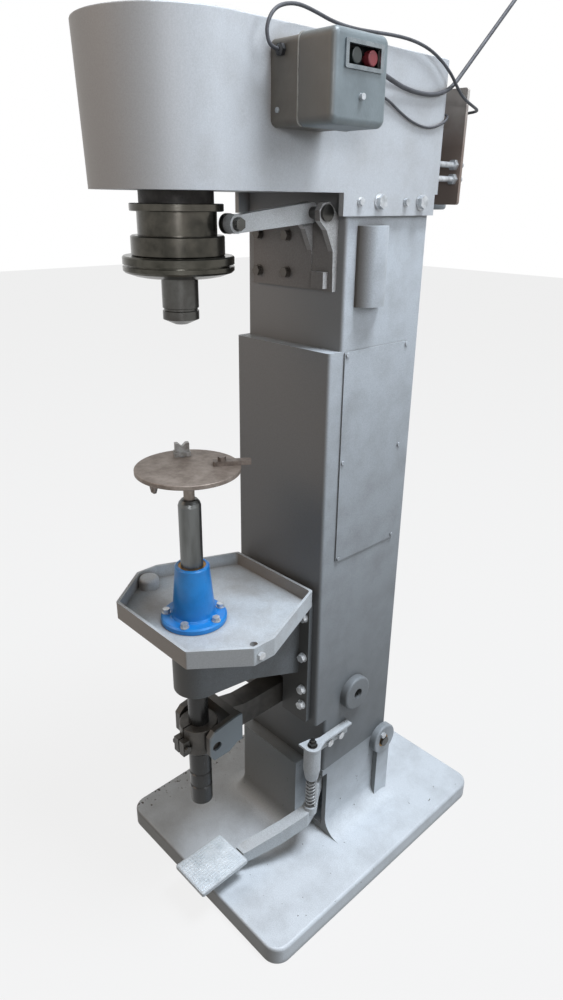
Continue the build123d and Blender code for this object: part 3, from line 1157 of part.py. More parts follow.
def cable_hook():
    """Clamp sleeve and ring that hold the taut supply cable from above."""
    start = Vector(*SUPPLY_ROUTE[-1])
    pull = (start - Vector(*SUPPLY_ROUTE[-2])).normalized()
    frame = Plane(origin=start, z_dir=pull)
    sleeve = frame * Cylinder(SUPPLY_CABLE * 0.75, 22, align=(Align.CENTER, Align.CENTER, Align.MIN))
    ring = frame * Pos(0, 0, 20 + HOOK_R) * Rot(90, 0, 0) * Torus(HOOK_R, HOOK_WIRE)
    return sleeve + ring


def main():
    save("base_casting", base_casting())
    save("column_frame", column_frame())
    save("access_cover", access_cover())
    save("cover_screws", *cover_screws())
    save("rod_cover", rod_cover())
    save("head_housing", head_housing())
    save("head_lid", head_lid())
    save("lid_screws", *lid_screws())
    save("head_bolts", *head_bolts())
    save("bearing_cartridge", bearing_cartridge())
    save("spindle_bearings", bearing_ring(BEARING_LOWER), bearing_ring(BEARING_UPPER))
    save("spindle", spindle())
    save("spindle_pulley", grooved_pulley(BIG_PULLEY_R, SPINDLE_R, 34, SPINDLE_TOP - 20, 9))
    save("seaming_head", seaming_head())
    save("shift_collar", shift_collar())
    save("drive_belt", drive_belt())
    save("motor_rotor", motor_rotor())
    save("motor_body", motor_body())
    save("terminal_box", terminal_box())
    save("motor_plate", motor_plate())
    save("tension_bolts", *tension_bolts())
    save("lever_bracket", lever_bracket())
    save("lever_pin", lever_pin())
    save("seam_lever", seam_lever())
    save("lever_roller", lever_roller())
    save("starter_base", starter_base())
    save("starter_cover", starter_cover())
    save("window_bezel", window_bezel())
    save("contactor", contactor())
    save("start_button", button(BUTTON_Y[0]))
    save("stop_button", button(BUTTON_Y[1]))
    save("starter_screws", *starter_screws())
    save("table_tray", table_tray())
    save("knee_bracket", knee_bracket())
    save("column_bolts", *column_bolts())
    save("guide_housing", guide_housing())
    save("guide_bolts", *guide_bolts())
    save("guide_bushes", *guide_bushes())
    save("lift_shaft", lift_shaft())
    save("lift_collar", lift_collar())
    save("can_plate", can_plate())
    save("v_stop", v_stop())
    save("arm_stop", arm_stop())
    save("wing_screw", wing_screw())
    save("fork_lever", fork_lever())
    save("fork_shaft", fork_shaft())
    save("link_plates", *link_plates())
    save("link_pins", *link_pins())
    save("pedal_lever", pedal_lever())
    save("pedal_pad", pedal_pad())
    save("pedal_shaft", pedal_shaft())
    save("pedal_bushes", *pedal_bushes())
    save("spring_bracket", spring_bracket())
    save("spring_rod", spring_rod())
    save("return_spring", return_spring())
    save("supply_cable", cord(SUPPLY_ROUTE, SUPPLY_CABLE))
    save("motor_cable", cord(MOTOR_ROUTE, MOTOR_CABLE))
    save("earth_wire", cord(EARTH_ROUTE, EARTH_WIRE))
    save("cable_glands", *cable_glands())
    save("cable_hook", cable_hook())


main()
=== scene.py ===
import bpy
import bmesh
from math import cos, pi, radians, sin
from mathutils import Matrix, Vector


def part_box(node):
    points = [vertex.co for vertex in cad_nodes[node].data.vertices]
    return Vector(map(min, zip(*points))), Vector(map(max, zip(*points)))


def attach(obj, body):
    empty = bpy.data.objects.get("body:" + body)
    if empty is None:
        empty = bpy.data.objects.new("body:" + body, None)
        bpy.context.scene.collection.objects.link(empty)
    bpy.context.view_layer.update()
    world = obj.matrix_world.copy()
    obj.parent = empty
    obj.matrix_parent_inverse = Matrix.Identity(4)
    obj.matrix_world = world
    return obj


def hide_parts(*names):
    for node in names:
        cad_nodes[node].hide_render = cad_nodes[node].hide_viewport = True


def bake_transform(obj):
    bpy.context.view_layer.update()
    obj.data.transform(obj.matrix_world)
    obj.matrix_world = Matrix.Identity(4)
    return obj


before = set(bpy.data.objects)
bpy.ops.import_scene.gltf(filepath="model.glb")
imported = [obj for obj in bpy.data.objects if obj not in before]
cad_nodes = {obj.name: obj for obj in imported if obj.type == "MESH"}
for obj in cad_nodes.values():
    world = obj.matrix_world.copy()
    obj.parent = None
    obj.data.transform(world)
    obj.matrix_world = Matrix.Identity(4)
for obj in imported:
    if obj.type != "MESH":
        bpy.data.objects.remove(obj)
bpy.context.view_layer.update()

# Camera: held at chest height in front of the machine's right corner and tilted down, so that the
# front and the starter side both show. The upright frame is 563 by 1000.
camera_azimuth = radians(46.195)
camera_pitch = radians(23.118)
camera_roll = radians(0.7125)
camera_place = (0.95225, -0.68492, 1.45)
camera = bpy.data.objects.new("camera", bpy.data.cameras.new("camera"))
camera.data.sensor_fit = "VERTICAL"
camera.data.sensor_height = 36.0
camera.data.lens = 25.459
camera.data.clip_end = 60.0
camera.matrix_world = (Matrix.Translation(camera_place)
                       @ Matrix.Rotation(camera_azimuth, 4, "Z")
                       @ Matrix.Rotation(pi / 2 - camera_pitch, 4, "X")
                       @ Matrix.Rotation(camera_roll, 4, "Z"))
bpy.context.scene.collection.objects.link(camera)
bpy.context.scene.camera = camera
bpy.context.scene.view_settings.view_transform = "Standard"


# Supply, motor and earth cables: copper strands in a round extruded sheath of dull dark rubber.
# They leave glands in the starter; the motor cable crosses the lid, the earth wire ends on the head's
# rear, and the supply cable is held taut by a hook above and behind the machine.
def srgb(code):
    channels = [int(code[i:i + 2], 16) / 255 for i in (1, 3, 5)]
    return [c / 12.92 if c <= 0.04045 else ((c + 0.055) / 1.055) ** 2.4 for c in channels] + [1.0]


def add(tree, kind, settings=None, links=None):
    """Add one node. A colour mix has its factor at input 0, its colours at 6 and 7, its result at 2."""
    node = tree.nodes.new(kind)
    for key, value in (settings or {}).items():
        if isinstance(key, int) or key in node.inputs:
            node.inputs[key].default_value = value
        else:
            setattr(node, key, value)
    for key, source in (links or {}).items():
        tree.links.new(source, node.inputs[key])
    return node


def new_material(name):
    material = bpy.data.materials.new(name)
    material.use_nodes = True
    tree = material.node_tree
    tree.nodes.clear()
    return material, tree


def fine_grain(tree, where, grain_mm, depth_mm):
    """The slopes of a fine, even grain. One too fine to show is drawn as coarse as it needs to show."""
    grain = add(tree, "ShaderNodeTexNoise", {"Scale": 1000 / grain_mm, "Detail": 2.0}, {"Vector": where})
    bump = add(tree, "ShaderNodeBump", {"Distance": depth_mm / 1000, "Strength": 1.0},
               {"Height": grain.outputs["Fac"]})
    return bump.outputs["Normal"]


def operator_side_shade(tree, full_at, share):
    """Painted shade: from 0 on what faces sideways to share on what faces the operator, at -Y, away from the
    light.
    """
    facing = add(tree, "ShaderNodeSeparateXYZ", None,
                 {"Vector": add(tree, "ShaderNodeNewGeometry").outputs["Normal"]})
    front = add(tree, "ShaderNodeMapRange", {"From Min": -0.35, "From Max": full_at, "To Max": share},
                {"Value": facing.outputs["Y"]})
    return front.outputs["Result"]


def mottled(name, light, dark, metallic, shine, patch_mm, grain_mm, grain_depth_mm, front_shade=None):
    """Two close colours in soft patches, which also differ in shine, over a fine grain.

    front_shade is the colour of the painted shade that dulls what faces the operator, away from the light.
    """
    material, tree = new_material(name)
    where = add(tree, "ShaderNodeTexCoord").outputs["Object"]
    patches = add(tree, "ShaderNodeTexNoise", {"Scale": 1000 / patch_mm, "Detail": 5.0, "Roughness": 0.62},
                  {"Vector": where})
    share = add(tree, "ShaderNodeMapRange", {"From Min": 0.36, "From Max": 0.66},
                {"Value": patches.outputs["Fac"]})
    colour = add(tree, "ShaderNodeMix", {"data_type": "RGBA", 6: srgb(light), 7: srgb(dark)},
                 {0: share.outputs["Result"]})
    # Painted shade on what faces the operator.
    if front_shade:
        colour = add(tree, "ShaderNodeMix", {"data_type": "RGBA", 7: srgb(front_shade)},
                     {0: operator_side_shade(tree, -0.95, 0.8), 6: colour.outputs[2]})
    gloss = add(tree, "ShaderNodeMapRange", {"To Min": shine[0], "To Max": shine[1]},
                {"Value": patches.outputs["Fac"]})
    shader = add(tree, "ShaderNodeBsdfPrincipled", {"Metallic": metallic},
                 {"Base Color": colour.outputs[2], "Roughness": gloss.outputs["Result"],
                  "Normal": fine_grain(tree, where, grain_mm, grain_depth_mm)})
    add(tree, "ShaderNodeOutputMaterial", None, {"Surface": shader.outputs["BSDF"]})
    return material


def finish(material, *names):
    """Give the material to the solids of these nodes."""
    for node_name in names:
        for node_slot in cad_nodes[node_name].material_slots:
            node_slot.material = material


def place_piece(name, data):
    piece = bpy.data.objects.new(name, data)
    bpy.context.scene.collection.objects.link(piece)
    return piece


def route_curve(name, points_mm, diameter_mm):
    """A round flex along one smooth curve, whose ends lie in its end points."""
    curve = bpy.data.curves.new(name, "CURVE")
    curve.dimensions = "3D"
    curve.resolution_u = 8
    curve.bevel_depth = diameter_mm / 2000
    curve.bevel_resolution = 4
    curve.use_fill_caps = True
    spline = curve.splines.new("NURBS")
    spline.points.add(len(points_mm) - 1)
    for point, place in zip(spline.points, points_mm):
        point.co = (*[v / 1000 for v in place], 1.0)
    spline.order_u = 3
    spline.use_endpoint_u = True
    return place_piece(name, curve)


# The sheath gives no clear reflection, and it is a little paler where dust lies on it.
rubber_sheath = mottled("rubber_cable_sheath", "#47494e", "#35363a", 0.0, (0.5, 0.7), 25.0, 1.2, 0.05)
supply_route = [(168, 202, 1628), (168, 232, 1628), (159, 272, 1626), (148, 312, 1621.5),
                (140.5, 354, 1615), (139.5, 400, 1611), (139.5, 446, 1613), (139.5, 488, 1627),
                (139.5, 522, 1658), (139.5, 668, 1790)]
motor_route = [(156, 62, 1631), (156, 48, 1631.5), (156, 41, 1648), (155.5, 46.5, 1664.5),
               (153.5, 61, 1678), (150, 84, 1686), (145, 112, 1690), (138, 150, 1688),
               (132, 192, 1683), (132, 236, 1680.5), (138, 280, 1681), (141.5, 326, 1682.5),
               (142, 372, 1681.5), (142.5, 414, 1675), (144, 448, 1662), (147, 474, 1645),
               (147.5, 494, 1627), (147, 520, 1612), (145, 552, 1604), (136, 582, 1601),
               (116, 602, 1601), (92, 611, 1601), (70, 612.5, 1594), (62, 612, 1580), (62, 612, 1566)]
earth_route = [(148, 198, 1600), (148, 220, 1600), (145, 262, 1602), (140, 314, 1597),
               (137, 352, 1581), (137, 392, 1567), (137, 434, 1562), (137, 466, 1569),
               (136, 486, 1578), (128, 502, 1589), (106.5, 504, 1591)]
for cable_name, route, diameter, length, far_end, lay in (
        ("supply_cable", supply_route, 7.0, 0.534, "fitting", "taut"),
        ("motor_cable", motor_route, 5.0, 0.700, "object", "loose"),
        ("earth_wire", earth_route, 4.0, 0.337, "object", "loose")):
    cable = route_curve(cable_name + "_flex", route, diameter)
    cable.data.materials.append(rubber_sheath)
    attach(cable, "frame")
    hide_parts(cable_name)


# Floor and light: a plain pale studio floor and background. The camera sees them almost white, but
# they light the machine only weakly. The soft main light comes from high behind the starter side, and
# weak fills keep the operator's side readable but darker.
def seen_directly(tree):
    """1 for what the camera sees, also in a mirror or through glass, and 0 for the light that it gives."""
    path = add(tree, "ShaderNodeLightPath")
    seen = add(tree, "ShaderNodeMath", {"operation": "MAXIMUM"},
               {0: path.outputs["Is Camera Ray"], 1: path.outputs["Is Glossy Ray"]})
    seen = add(tree, "ShaderNodeMath", {"operation": "MAXIMUM"},
               {0: seen.outputs[0], 1: path.outputs["Is Transmission Ray"]})
    return seen.outputs[0]


floor_reach = 14.0
floor_gap = 0.0005
floor_white_share = 0.84
floor_mesh = bpy.data.meshes.new("floor")
floor_shape = bmesh.new()
bmesh.ops.create_grid(floor_shape, x_segments=1, y_segments=1, size=floor_reach)
floor_shape.to_mesh(floor_mesh)
floor_shape.free()
floor = place_piece("floor", floor_mesh)
floor.location.z = -floor_gap
floor_material, floor_tree = new_material("studio_floor")
floor_seen = add(floor_tree, "ShaderNodeMath", {"operation": "MULTIPLY", 1: floor_white_share},
                 {0: seen_directly(floor_tree)})
floor_paint = add(floor_tree, "ShaderNodeBsdfPrincipled", {"Base Color": srgb("#a3a4a5"), "Roughness": 0.9})
floor_glow = add(floor_tree, "ShaderNodeEmission", {"Color": srgb("#ffffff"), "Strength": 1.0})
floor_mix = add(floor_tree, "ShaderNodeMixShader", None,
                {0: floor_seen.outputs[0], 1: floor_paint.outputs["BSDF"], 2: floor_glow.outputs[0]})
add(floor_tree, "ShaderNodeOutputMaterial", None, {"Surface": floor_mix.outputs[0]})
floor.data.materials.append(floor_material)

world = bpy.data.worlds.new("studio")
bpy.context.scene.world = world
world.use_nodes = True
world_tree = world.node_tree
world_tree.nodes.clear()
sky_light = add(world_tree, "ShaderNodeBackground", {"Color": srgb("#e6e2dc"), "Strength": 0.2})
sky_seen = add(world_tree, "ShaderNodeBackground", {"Color": srgb("#ffffff"), "Strength": 1.0})
sky_mix = add(world_tree, "ShaderNodeMixShader", None,
              {0: seen_directly(world_tree), 1: sky_light.outputs[0], 2: sky_seen.outputs[0]})
add(world_tree, "ShaderNodeOutputWorld", None, {"Surface": sky_mix.outputs[0]})


def lamp(name, place, target, size, watts, code, spread=pi):
    light = bpy.data.lights.new(name, "AREA")
    light.shape = "SQUARE"
    light.size = size
    light.spread = spread
    light.energy = watts
    light.color = srgb(code)[:3]
    piece = place_piece(name, light)
    piece.location = place
    piece.rotation_euler = (Vector(target) - Vector(place)).to_track_quat("-Z", "Y").to_euler()


# The high window lights every top face, and it is far enough away not to bleach the head's lid. The
# side window lights the head and the starter, the front fill is warm, and the head fill rounds the nose.
lamp("high_window", (1.6, 0.95, 5.8), (0.0, 0.2, 0.7), 1.7, 345, "#eef5ff")
lamp("side_window", (2.2, 0.8, 2.55), (0.12, 0.15, 1.75), 1.2, 4.2, "#eef5ff", radians(65))
lamp("front_fill", (-1.2, -2.4, 2.7), (0.0, 0.0, 1.5), 1.4, 16, "#ffdfc2")
lamp("head_fill", (2.45, -1.6, 1.95), (0.0, -0.05, 1.64), 0.6, 1.5, "#f6f8ff", radians(40))


# Column and access cover: a hollow box casting of iron, machined where the knee slides, with a sheet
# steel cover screwed on its right side. Both are brushed over with aluminium paint, whose flakes give
# a fine speckle and a soft metal shine; dust and oil with painted shade darken the hollows, and painted
# shade darkens the operator's side, which faces away from the light.
def fade(tree, where, axis, start_mm, end_mm, share=1.0):
    """From 0 at start_mm along the axis to share at end_mm."""
    at = add(tree, "ShaderNodeSeparateXYZ", None, {"Vector": where})
    along = add(tree, "ShaderNodeMapRange",
                {"From Min": start_mm / 1000, "From Max": end_mm / 1000, "To Max": share},
                {"Value": at.outputs[axis]})
    return along.outputs["Result"]


def aluminium_paint(name, light, dark, grime_and_shade, grime_share, front_shade_share, low_shade=None, chips=False):
    """Aluminium paint, with grime in patches, grime and painted shade in hollows, and painted shade on what
    faces the operator.

    low_shade is (start_mm, end_mm, share, colour): painted shade that darkens the paint between two heights.
    chips adds bare spots, thickest along the base's left edge.
    """
    material, tree = new_material(name)
    where = add(tree, "ShaderNodeTexCoord").outputs["Object"]
    # Real flakes are under a tenth of a millimetre, and are drawn as coarse as they need to show.
    flake_mm = 1.9
    flake_depth_mm = 0.4
    brush_mm = 60.0
    hollow_mm = 22.0
    flakes = add(tree, "ShaderNodeTexNoise", {"Scale": 1000 / flake_mm, "Detail": 2.0, "Roughness": 0.6},
                 {"Vector": where})
    speckle = add(tree, "ShaderNodeMapRange", {"From Min": 0.30, "From Max": 0.70},
                  {"Value": flakes.outputs["Fac"]})
    paint = add(tree, "ShaderNodeMix", {"data_type": "RGBA", 6: srgb(dark), 7: srgb(light)},
                {0: speckle.outputs["Result"]})
    brushed = add(tree, "ShaderNodeTexNoise", {"Scale": 1000 / brush_mm, "Detail": 5.0, "Roughness": 0.6},
                  {"Vector": where})
    patches = add(tree, "ShaderNodeMapRange", {"From Min": 0.42, "From Max": 0.74, "To Max": grime_share},
                  {"Value": brushed.outputs["Fac"]})
    # Ambient occlusion darkens the hollows with the grime colour, partly as dirt and partly as painted
    # shade.
    open_air = add(tree, "ShaderNodeAmbientOcclusion", {"Distance": hollow_mm / 1000, "samples": 6})
    hollow_dirt_and_shade = add(tree, "ShaderNodeMapRange", {"From Min": 0.85, "From Max": 0.35, "To Max": 0.75},
                 {"Value": open_air.outputs["AO"]})
    # Grime in patches, painted shade on what faces the operator, and grime with painted shade in hollows.
    dirt_and_shade = add(tree, "ShaderNodeMath", {"operation": "MAXIMUM"},
               {0: patches.outputs["Result"], 1: operator_side_shade(tree, -0.98, front_shade_share)})
    dirt_and_shade = add(tree, "ShaderNodeMath", {"operation": "MAXIMUM"},
               {0: dirt_and_shade.outputs[0], 1: hollow_dirt_and_shade.outputs["Result"]})
    colour = add(tree, "ShaderNodeMix", {"data_type": "RGBA", 7: srgb(grime_and_shade)},
                 {0: dirt_and_shade.outputs[0], 6: paint.outputs[2]})
    # Painted shade darkens the paint between two heights.
    if low_shade:
        start_mm, end_mm, low_shade_share, low_shade_tint = low_shade
        colour = add(tree, "ShaderNodeMix", {"data_type": "RGBA", 7: srgb(low_shade_tint)},
                     {0: fade(tree, where, "Z", start_mm, end_mm, low_shade_share), 6: colour.outputs[2]})
    if chips:
        chip_mm = 100 / 7
        left_edge_mm = -268.0
        worn_strip_mm = 68.0
        spots = add(tree, "ShaderNodeTexNoise", {"Scale": 1000 / chip_mm, "Detail": 3.0, "Roughness": 0.7},
                    {"Vector": where})
        near_edge = fade(tree, where, "X", left_edge_mm + worn_strip_mm, left_edge_mm, 0.14)
        worn = add(tree, "ShaderNodeMath", {"operation": "ADD"}, {0: spots.outputs["Fac"], 1: near_edge})
        chip = add(tree, "ShaderNodeMapRange", {"From Min": 0.70, "From Max": 0.73},
                   {"Value": worn.outputs[0]})
        colour = add(tree, "ShaderNodeMix", {"data_type": "RGBA", 7: srgb("#3d3833")},
                     {0: chip.outputs["Result"], 6: colour.outputs[2]})
    grain = add(tree, "ShaderNodeBump", {"Distance": flake_depth_mm / 1000, "Strength": 0.28},
                {"Height": flakes.outputs["Fac"]})
    shader = add(tree, "ShaderNodeBsdfPrincipled",
                 {"Metallic": 0.06, "Roughness": 0.48, "Specular IOR Level": 0.3},
                 {"Base Color": colour.outputs[2], "Normal": grain.outputs["Normal"]})
    add(tree, "ShaderNodeOutputMaterial", None, {"Surface": shader.outputs["BSDF"]})
    return material


# Painted shade darkens the column's paint towards the floor.
machine_paint = aluminium_paint("aluminium_painted_iron", "#c2c8cd", "#abb2b7", "#625b53", 0.26, 0.74,
                                (1300, 350, 0.74, "#4d5153"))
finish(machine_paint, "column_frame", "access_cover")

# Rod cover: a closed half-round of bent sheet steel, welded high on the column's right side. It turns
# away from the light at the front, where painted shade browns its paint.
rod_cover_paint = aluminium_paint("aluminium_painted_sheet", "#bfc5ca", "#a8afb4", "#57514a", 0.30, 1.0)
finish(rod_cover_paint, "rod_cover")

# Knee: a cast iron bracket bolted to the slideway, which carries the drip table and the guide. It
# hangs in the table's shade, which is painted in as a darker, even copy of the column's paint.
shaded_knee_paint = aluminium_paint("aluminium_paint_shaded_knee", "#7e8386", "#676b6e", "#45413b", 0.45, 0.85,
                             (1300, 350, 0.30, "#4d5153"))
finish(shaded_knee_paint, "knee_bracket")

# Head housing and lid: a round-nosed iron casting that holds spindle and belt, and a lid of 4 mm
# sheet steel screwed on it. Their paint is even and clean; painted shade makes the nose warm and dull
# where it faces the operator.
head_paint = aluminium_paint("aluminium_painted_head", "#bcc0c3", "#b0b4b7", "#7d7368", 0.20, 0.55)
finish(head_paint, "head_housing", "head_lid")

# Drip table: a shallow cast tray with turned-up walls, bolted on the knee. The paint on its floor is
# rubbed pale, and painted shade browns its front wall, which faces away from the light.
tray_paint = aluminium_paint("aluminium_painted_table", "#c9cfd3", "#b3babe", "#80766b", 0.40, 0.85)
finish(tray_paint, "table_tray")

# Base: a thick iron casting that flares up into the column's foot. Its paint is the palest, partly as
# dust and partly as painted light on its broad top; painted shade darkens the foot where it meets the
# column, and the paint is chipped down to dark iron along the left edge.
base_paint = aluminium_paint("aluminium_painted_base", "#dfe5ea", "#c4cbd0", "#57534b", 0.22, 0.78,
                             (100, 290, 0.75, "#60676b"), chips=True)
finish(base_paint, "base_casting")

# Motor and terminal box: a finned aluminium case with a cast box on its side, in grey factory enamel
# that is even and only half glossy.
motor_enamel = mottled("grey_motor_enamel", "#7f868a", "#666b6e", 0.1, (0.4, 0.6), 60.0, 2.0, 0.1)
finish(motor_enamel, "motor_body", "terminal_box")


# Motor plate: a 7 mm steel plate behind the head, held by nuts on four studs that tension the belt.
# Its lower half is brown as painted shade behind the head; higher up the thin grey paint still shows,
# in patches.
def shaded_stained_plate(name, painted, brown, brown_top_mm, painted_bottom_mm):
    material, tree = new_material(name)
    where = add(tree, "ShaderNodeTexCoord").outputs["Object"]
    stain_mm = 50.0
    grain_mm = 2.5
    grain_depth_mm = 0.15
    stain = add(tree, "ShaderNodeTexNoise", {"Scale": 1000 / stain_mm, "Detail": 5.0}, {"Vector": where})
    clean = add(tree, "ShaderNodeMapRange", {"From Min": 0.35, "From Max": 0.65, "To Min": 0.4},
                {"Value": stain.outputs["Fac"]})
    share = add(tree, "ShaderNodeMath", {"operation": "MULTIPLY"},
                {0: fade(tree, where, "Z", brown_top_mm, painted_bottom_mm), 1: clean.outputs["Result"]})
    colour = add(tree, "ShaderNodeMix", {"data_type": "RGBA", 6: srgb(brown), 7: srgb(painted)},
                 {0: share.outputs[0]})
    shader = add(tree, "ShaderNodeBsdfPrincipled", {"Metallic": 0.2, "Roughness": 0.55},
                 {"Base Color": colour.outputs[2],
                  "Normal": fine_grain(tree, where, grain_mm, grain_depth_mm)})
    add(tree, "ShaderNodeOutputMaterial", None, {"Surface": shader.outputs["BSDF"]})
    return material


finish(shaded_stained_plate("shaded_stained_steel_plate", "#c0bab4", "#7b6d64", 1540.0, 1600.0), "motor_plate")

# Guide housing: a turned iron casting, bolted through the drip table, that guides the lift shaft. Its
# bright blue machine enamel is newer than the rest, still glossy and clean.
blue_enamel = mottled("blue_machine_enamel", "#1f8ad8", "#1972bc", 0.0, (0.26, 0.38), 60.0, 4.0, 0.15)
finish(blue_enamel, "guide_housing")

# Starter: a box of pressed steel, base and cover, screwed to the head's right side. Its grey-green
# hammer enamel has shallow dimples that catch the light, and painted shade browns what faces the operator.
hammer_enamel = mottled("grey_hammer_enamel", "#747e81", "#636c6f", 0.1, (0.36, 0.5), 70.0, 3.5, 0.25,
                        "#5c574f")
finish(hammer_enamel, "starter_cover")
# The base shows mostly its side towards the operator, and takes a darker, browner copy of the enamel as
# painted shade.
shaded_enamel = mottled("shaded_hammer_enamel", "#69645c", "#58544d", 0.1, (0.4, 0.55), 70.0, 3.5, 0.25)
finish(shaded_enamel, "starter_base")

# Starter seam: a pale strip between the box's base and cover stands out from them by less than half a
# millimetre, as one pale line round the box: a painted highlight where the cover's edge catches the light.
base_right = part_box("starter_base")[1].x
cover_low, cover_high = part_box("starter_cover")
seam_width = 0.0016
seam_band = 0.0026
seam_proud = 0.0004
seam_corner = 0.010
seam_across = cover_high.y - cover_low.y + 2 * seam_proud
seam_tall = cover_high.z - cover_low.z + 2 * seam_proud
seam_shape = bmesh.new()
bmesh.ops.create_grid(seam_shape, x_segments=1, y_segments=1, size=0.5)
bmesh.ops.scale(seam_shape, vec=(seam_across, seam_tall, 1), verts=seam_shape.verts)
bmesh.ops.bevel(seam_shape, geom=seam_shape.verts[:], offset=seam_corner, offset_type="OFFSET",
                affect="VERTICES", segments=6, profile=0.5, material=-1)
seam_ring = bmesh.ops.inset_region(seam_shape, faces=seam_shape.faces[:], thickness=seam_band,
                                   use_boundary=True, use_even_offset=True)
bmesh.ops.delete(seam_shape, geom=[face for face in seam_shape.faces if face not in seam_ring["faces"]],
                 context="FACES_ONLY")
bmesh.ops.solidify(seam_shape, geom=seam_shape.faces[:], thickness=seam_width)
bmesh.ops.rotate(seam_shape, matrix=Matrix.Rotation(pi / 2, 3, "Z") @ Matrix.Rotation(pi / 2, 3, "X"),
                 verts=seam_shape.verts)
seam_left = min(vert.co.x for vert in seam_shape.verts)
bmesh.ops.translate(seam_shape, vec=(base_right - seam_width - seam_left, (cover_low.y + cover_high.y) / 2,
                                     (cover_low.z + cover_high.z) / 2), verts=seam_shape.verts)
bmesh.ops.recalc_face_normals(seam_shape, faces=seam_shape.faces)
seam_mesh = bpy.data.meshes.new("starter_seam_highlight")
seam_shape.to_mesh(seam_mesh)
seam_shape.free()
seam = place_piece("starter_seam_highlight", seam_mesh)
seam.data.materials.append(mottled("pale_seam_highlight_strip", "#a9a8a2", "#8f8e88", 0.0, (0.7, 0.9), 12.0, 1.5, 0.1))
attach(seam, "frame")

# Window frame, contactor block and buttons: a stamped frame of chromed brass, dulled to grey, round a
# block of black bakelite that guides a dark and a red button of moulded plastic. The cable glands are
# moulded of the same half glossy bakelite.
bright_chrome = mottled("chromed_brass", "#99a1a6", "#7f878c", 1.0, (0.18, 0.30), 20.0, 3.0, 0.02)
finish(bright_chrome, "window_bezel")
black_bakelite = mottled("black_bakelite", "#232426", "#1a1a1c", 0.0, (0.3, 0.45), 30.0, 2.0, 0.04)
finish(black_bakelite, "contactor", "cable_glands")
red_plastic = mottled("red_button_plastic", "#7d2f34", "#6c282d", 0.0, (0.3, 0.42), 8.0, 1.5, 0.03)
finish(red_plastic, "stop_button")
dark_plastic = mottled("dark_button_plastic", "#2b3230", "#1f2523", 0.0, (0.3, 0.42), 8.0, 1.5, 0.03)
finish(dark_plastic, "start_button")

# Spindle, shafts, pins and roller: bar steel, turned and ground. They are bare, and an old film of oil
# makes them dark and leaves long soft highlights.
turned_steel = mottled("turned_steel", "#5d5d5a", "#484643", 0.85, (0.22, 0.36), 40.0, 3.0, 0.04)
finish(turned_steel, "spindle", "pedal_shaft", "lever_pin", "link_pins", "spring_rod", "lever_roller",
       "fork_shaft")


# Lift shaft: a ground steel bar that slides in the guide and carries the can plate. Above the table it
# is bright, with stains drawn out by its strokes; below the table it is black, partly with old grease
# and partly as painted shade under the table.
def greased_shaded_shaft(name, bright, stained, grease_and_shade, dark_top_mm, dark_end_mm):
    material, tree = new_material(name)
    where = add(tree, "ShaderNodeTexCoord").outputs["Object"]
    streak_mm = 16.0
    streak_stretch = 0.12
    # The grinding marks are finer than this, and are drawn as coarse as they need to show.
    turning_mm = 157 / 90
    turning_depth_mm = 0.04
    drawn_out = add(tree, "ShaderNodeMapping", {"Scale": (1.0, 1.0, streak_stretch)}, {"Vector": where})
    stain = add(tree, "ShaderNodeTexNoise", {"Scale": 1000 / streak_mm, "Detail": 4.0},
                {"Vector": drawn_out.outputs["Vector"]})
    share = add(tree, "ShaderNodeMapRange", {"From Min": 0.38, "From Max": 0.64},
                {"Value": stain.outputs["Fac"]})
    steel = add(tree, "ShaderNodeMix", {"data_type": "RGBA", 6: srgb(bright), 7: srgb(stained)},
                {0: share.outputs["Result"]})
    greased_and_shaded = fade(tree, where, "Z", dark_top_mm, dark_end_mm, 0.92)
    colour = add(tree, "ShaderNodeMix", {"data_type": "RGBA", 7: srgb(grease_and_shade)},
                 {0: greased_and_shaded, 6: steel.outputs[2]})
    shine = add(tree, "ShaderNodeMapRange", {"To Min": 0.34, "To Max": 0.26}, {"Value": greased_and_shaded})
    bare = add(tree, "ShaderNodeMapRange", {"To Min": 0.85, "To Max": 0.25}, {"Value": greased_and_shaded})
    turning = add(tree, "ShaderNodeTexWave",
                  {"bands_direction": "Z", "Scale": 314 / turning_mm, "Distortion": 1.5}, {"Vector": where})
    bump = add(tree, "ShaderNodeBump", {"Distance": turning_depth_mm / 1000, "Strength": 1.0},
               {"Height": turning.outputs["Fac"]})
    shader = add(tree, "ShaderNodeBsdfPrincipled", None,
                 {"Base Color": colour.outputs[2], "Roughness": shine.outputs["Result"],
                  "Metallic": bare.outputs["Result"], "Normal": bump.outputs["Normal"]})
    add(tree, "ShaderNodeOutputMaterial", None, {"Surface": shader.outputs["BSDF"]})
    return material


finish(greased_shaded_shaft("ground_lift_shaft", "#707271", "#595a58", "#1e1e1d", 720.0, 690.0), "lift_shaft")


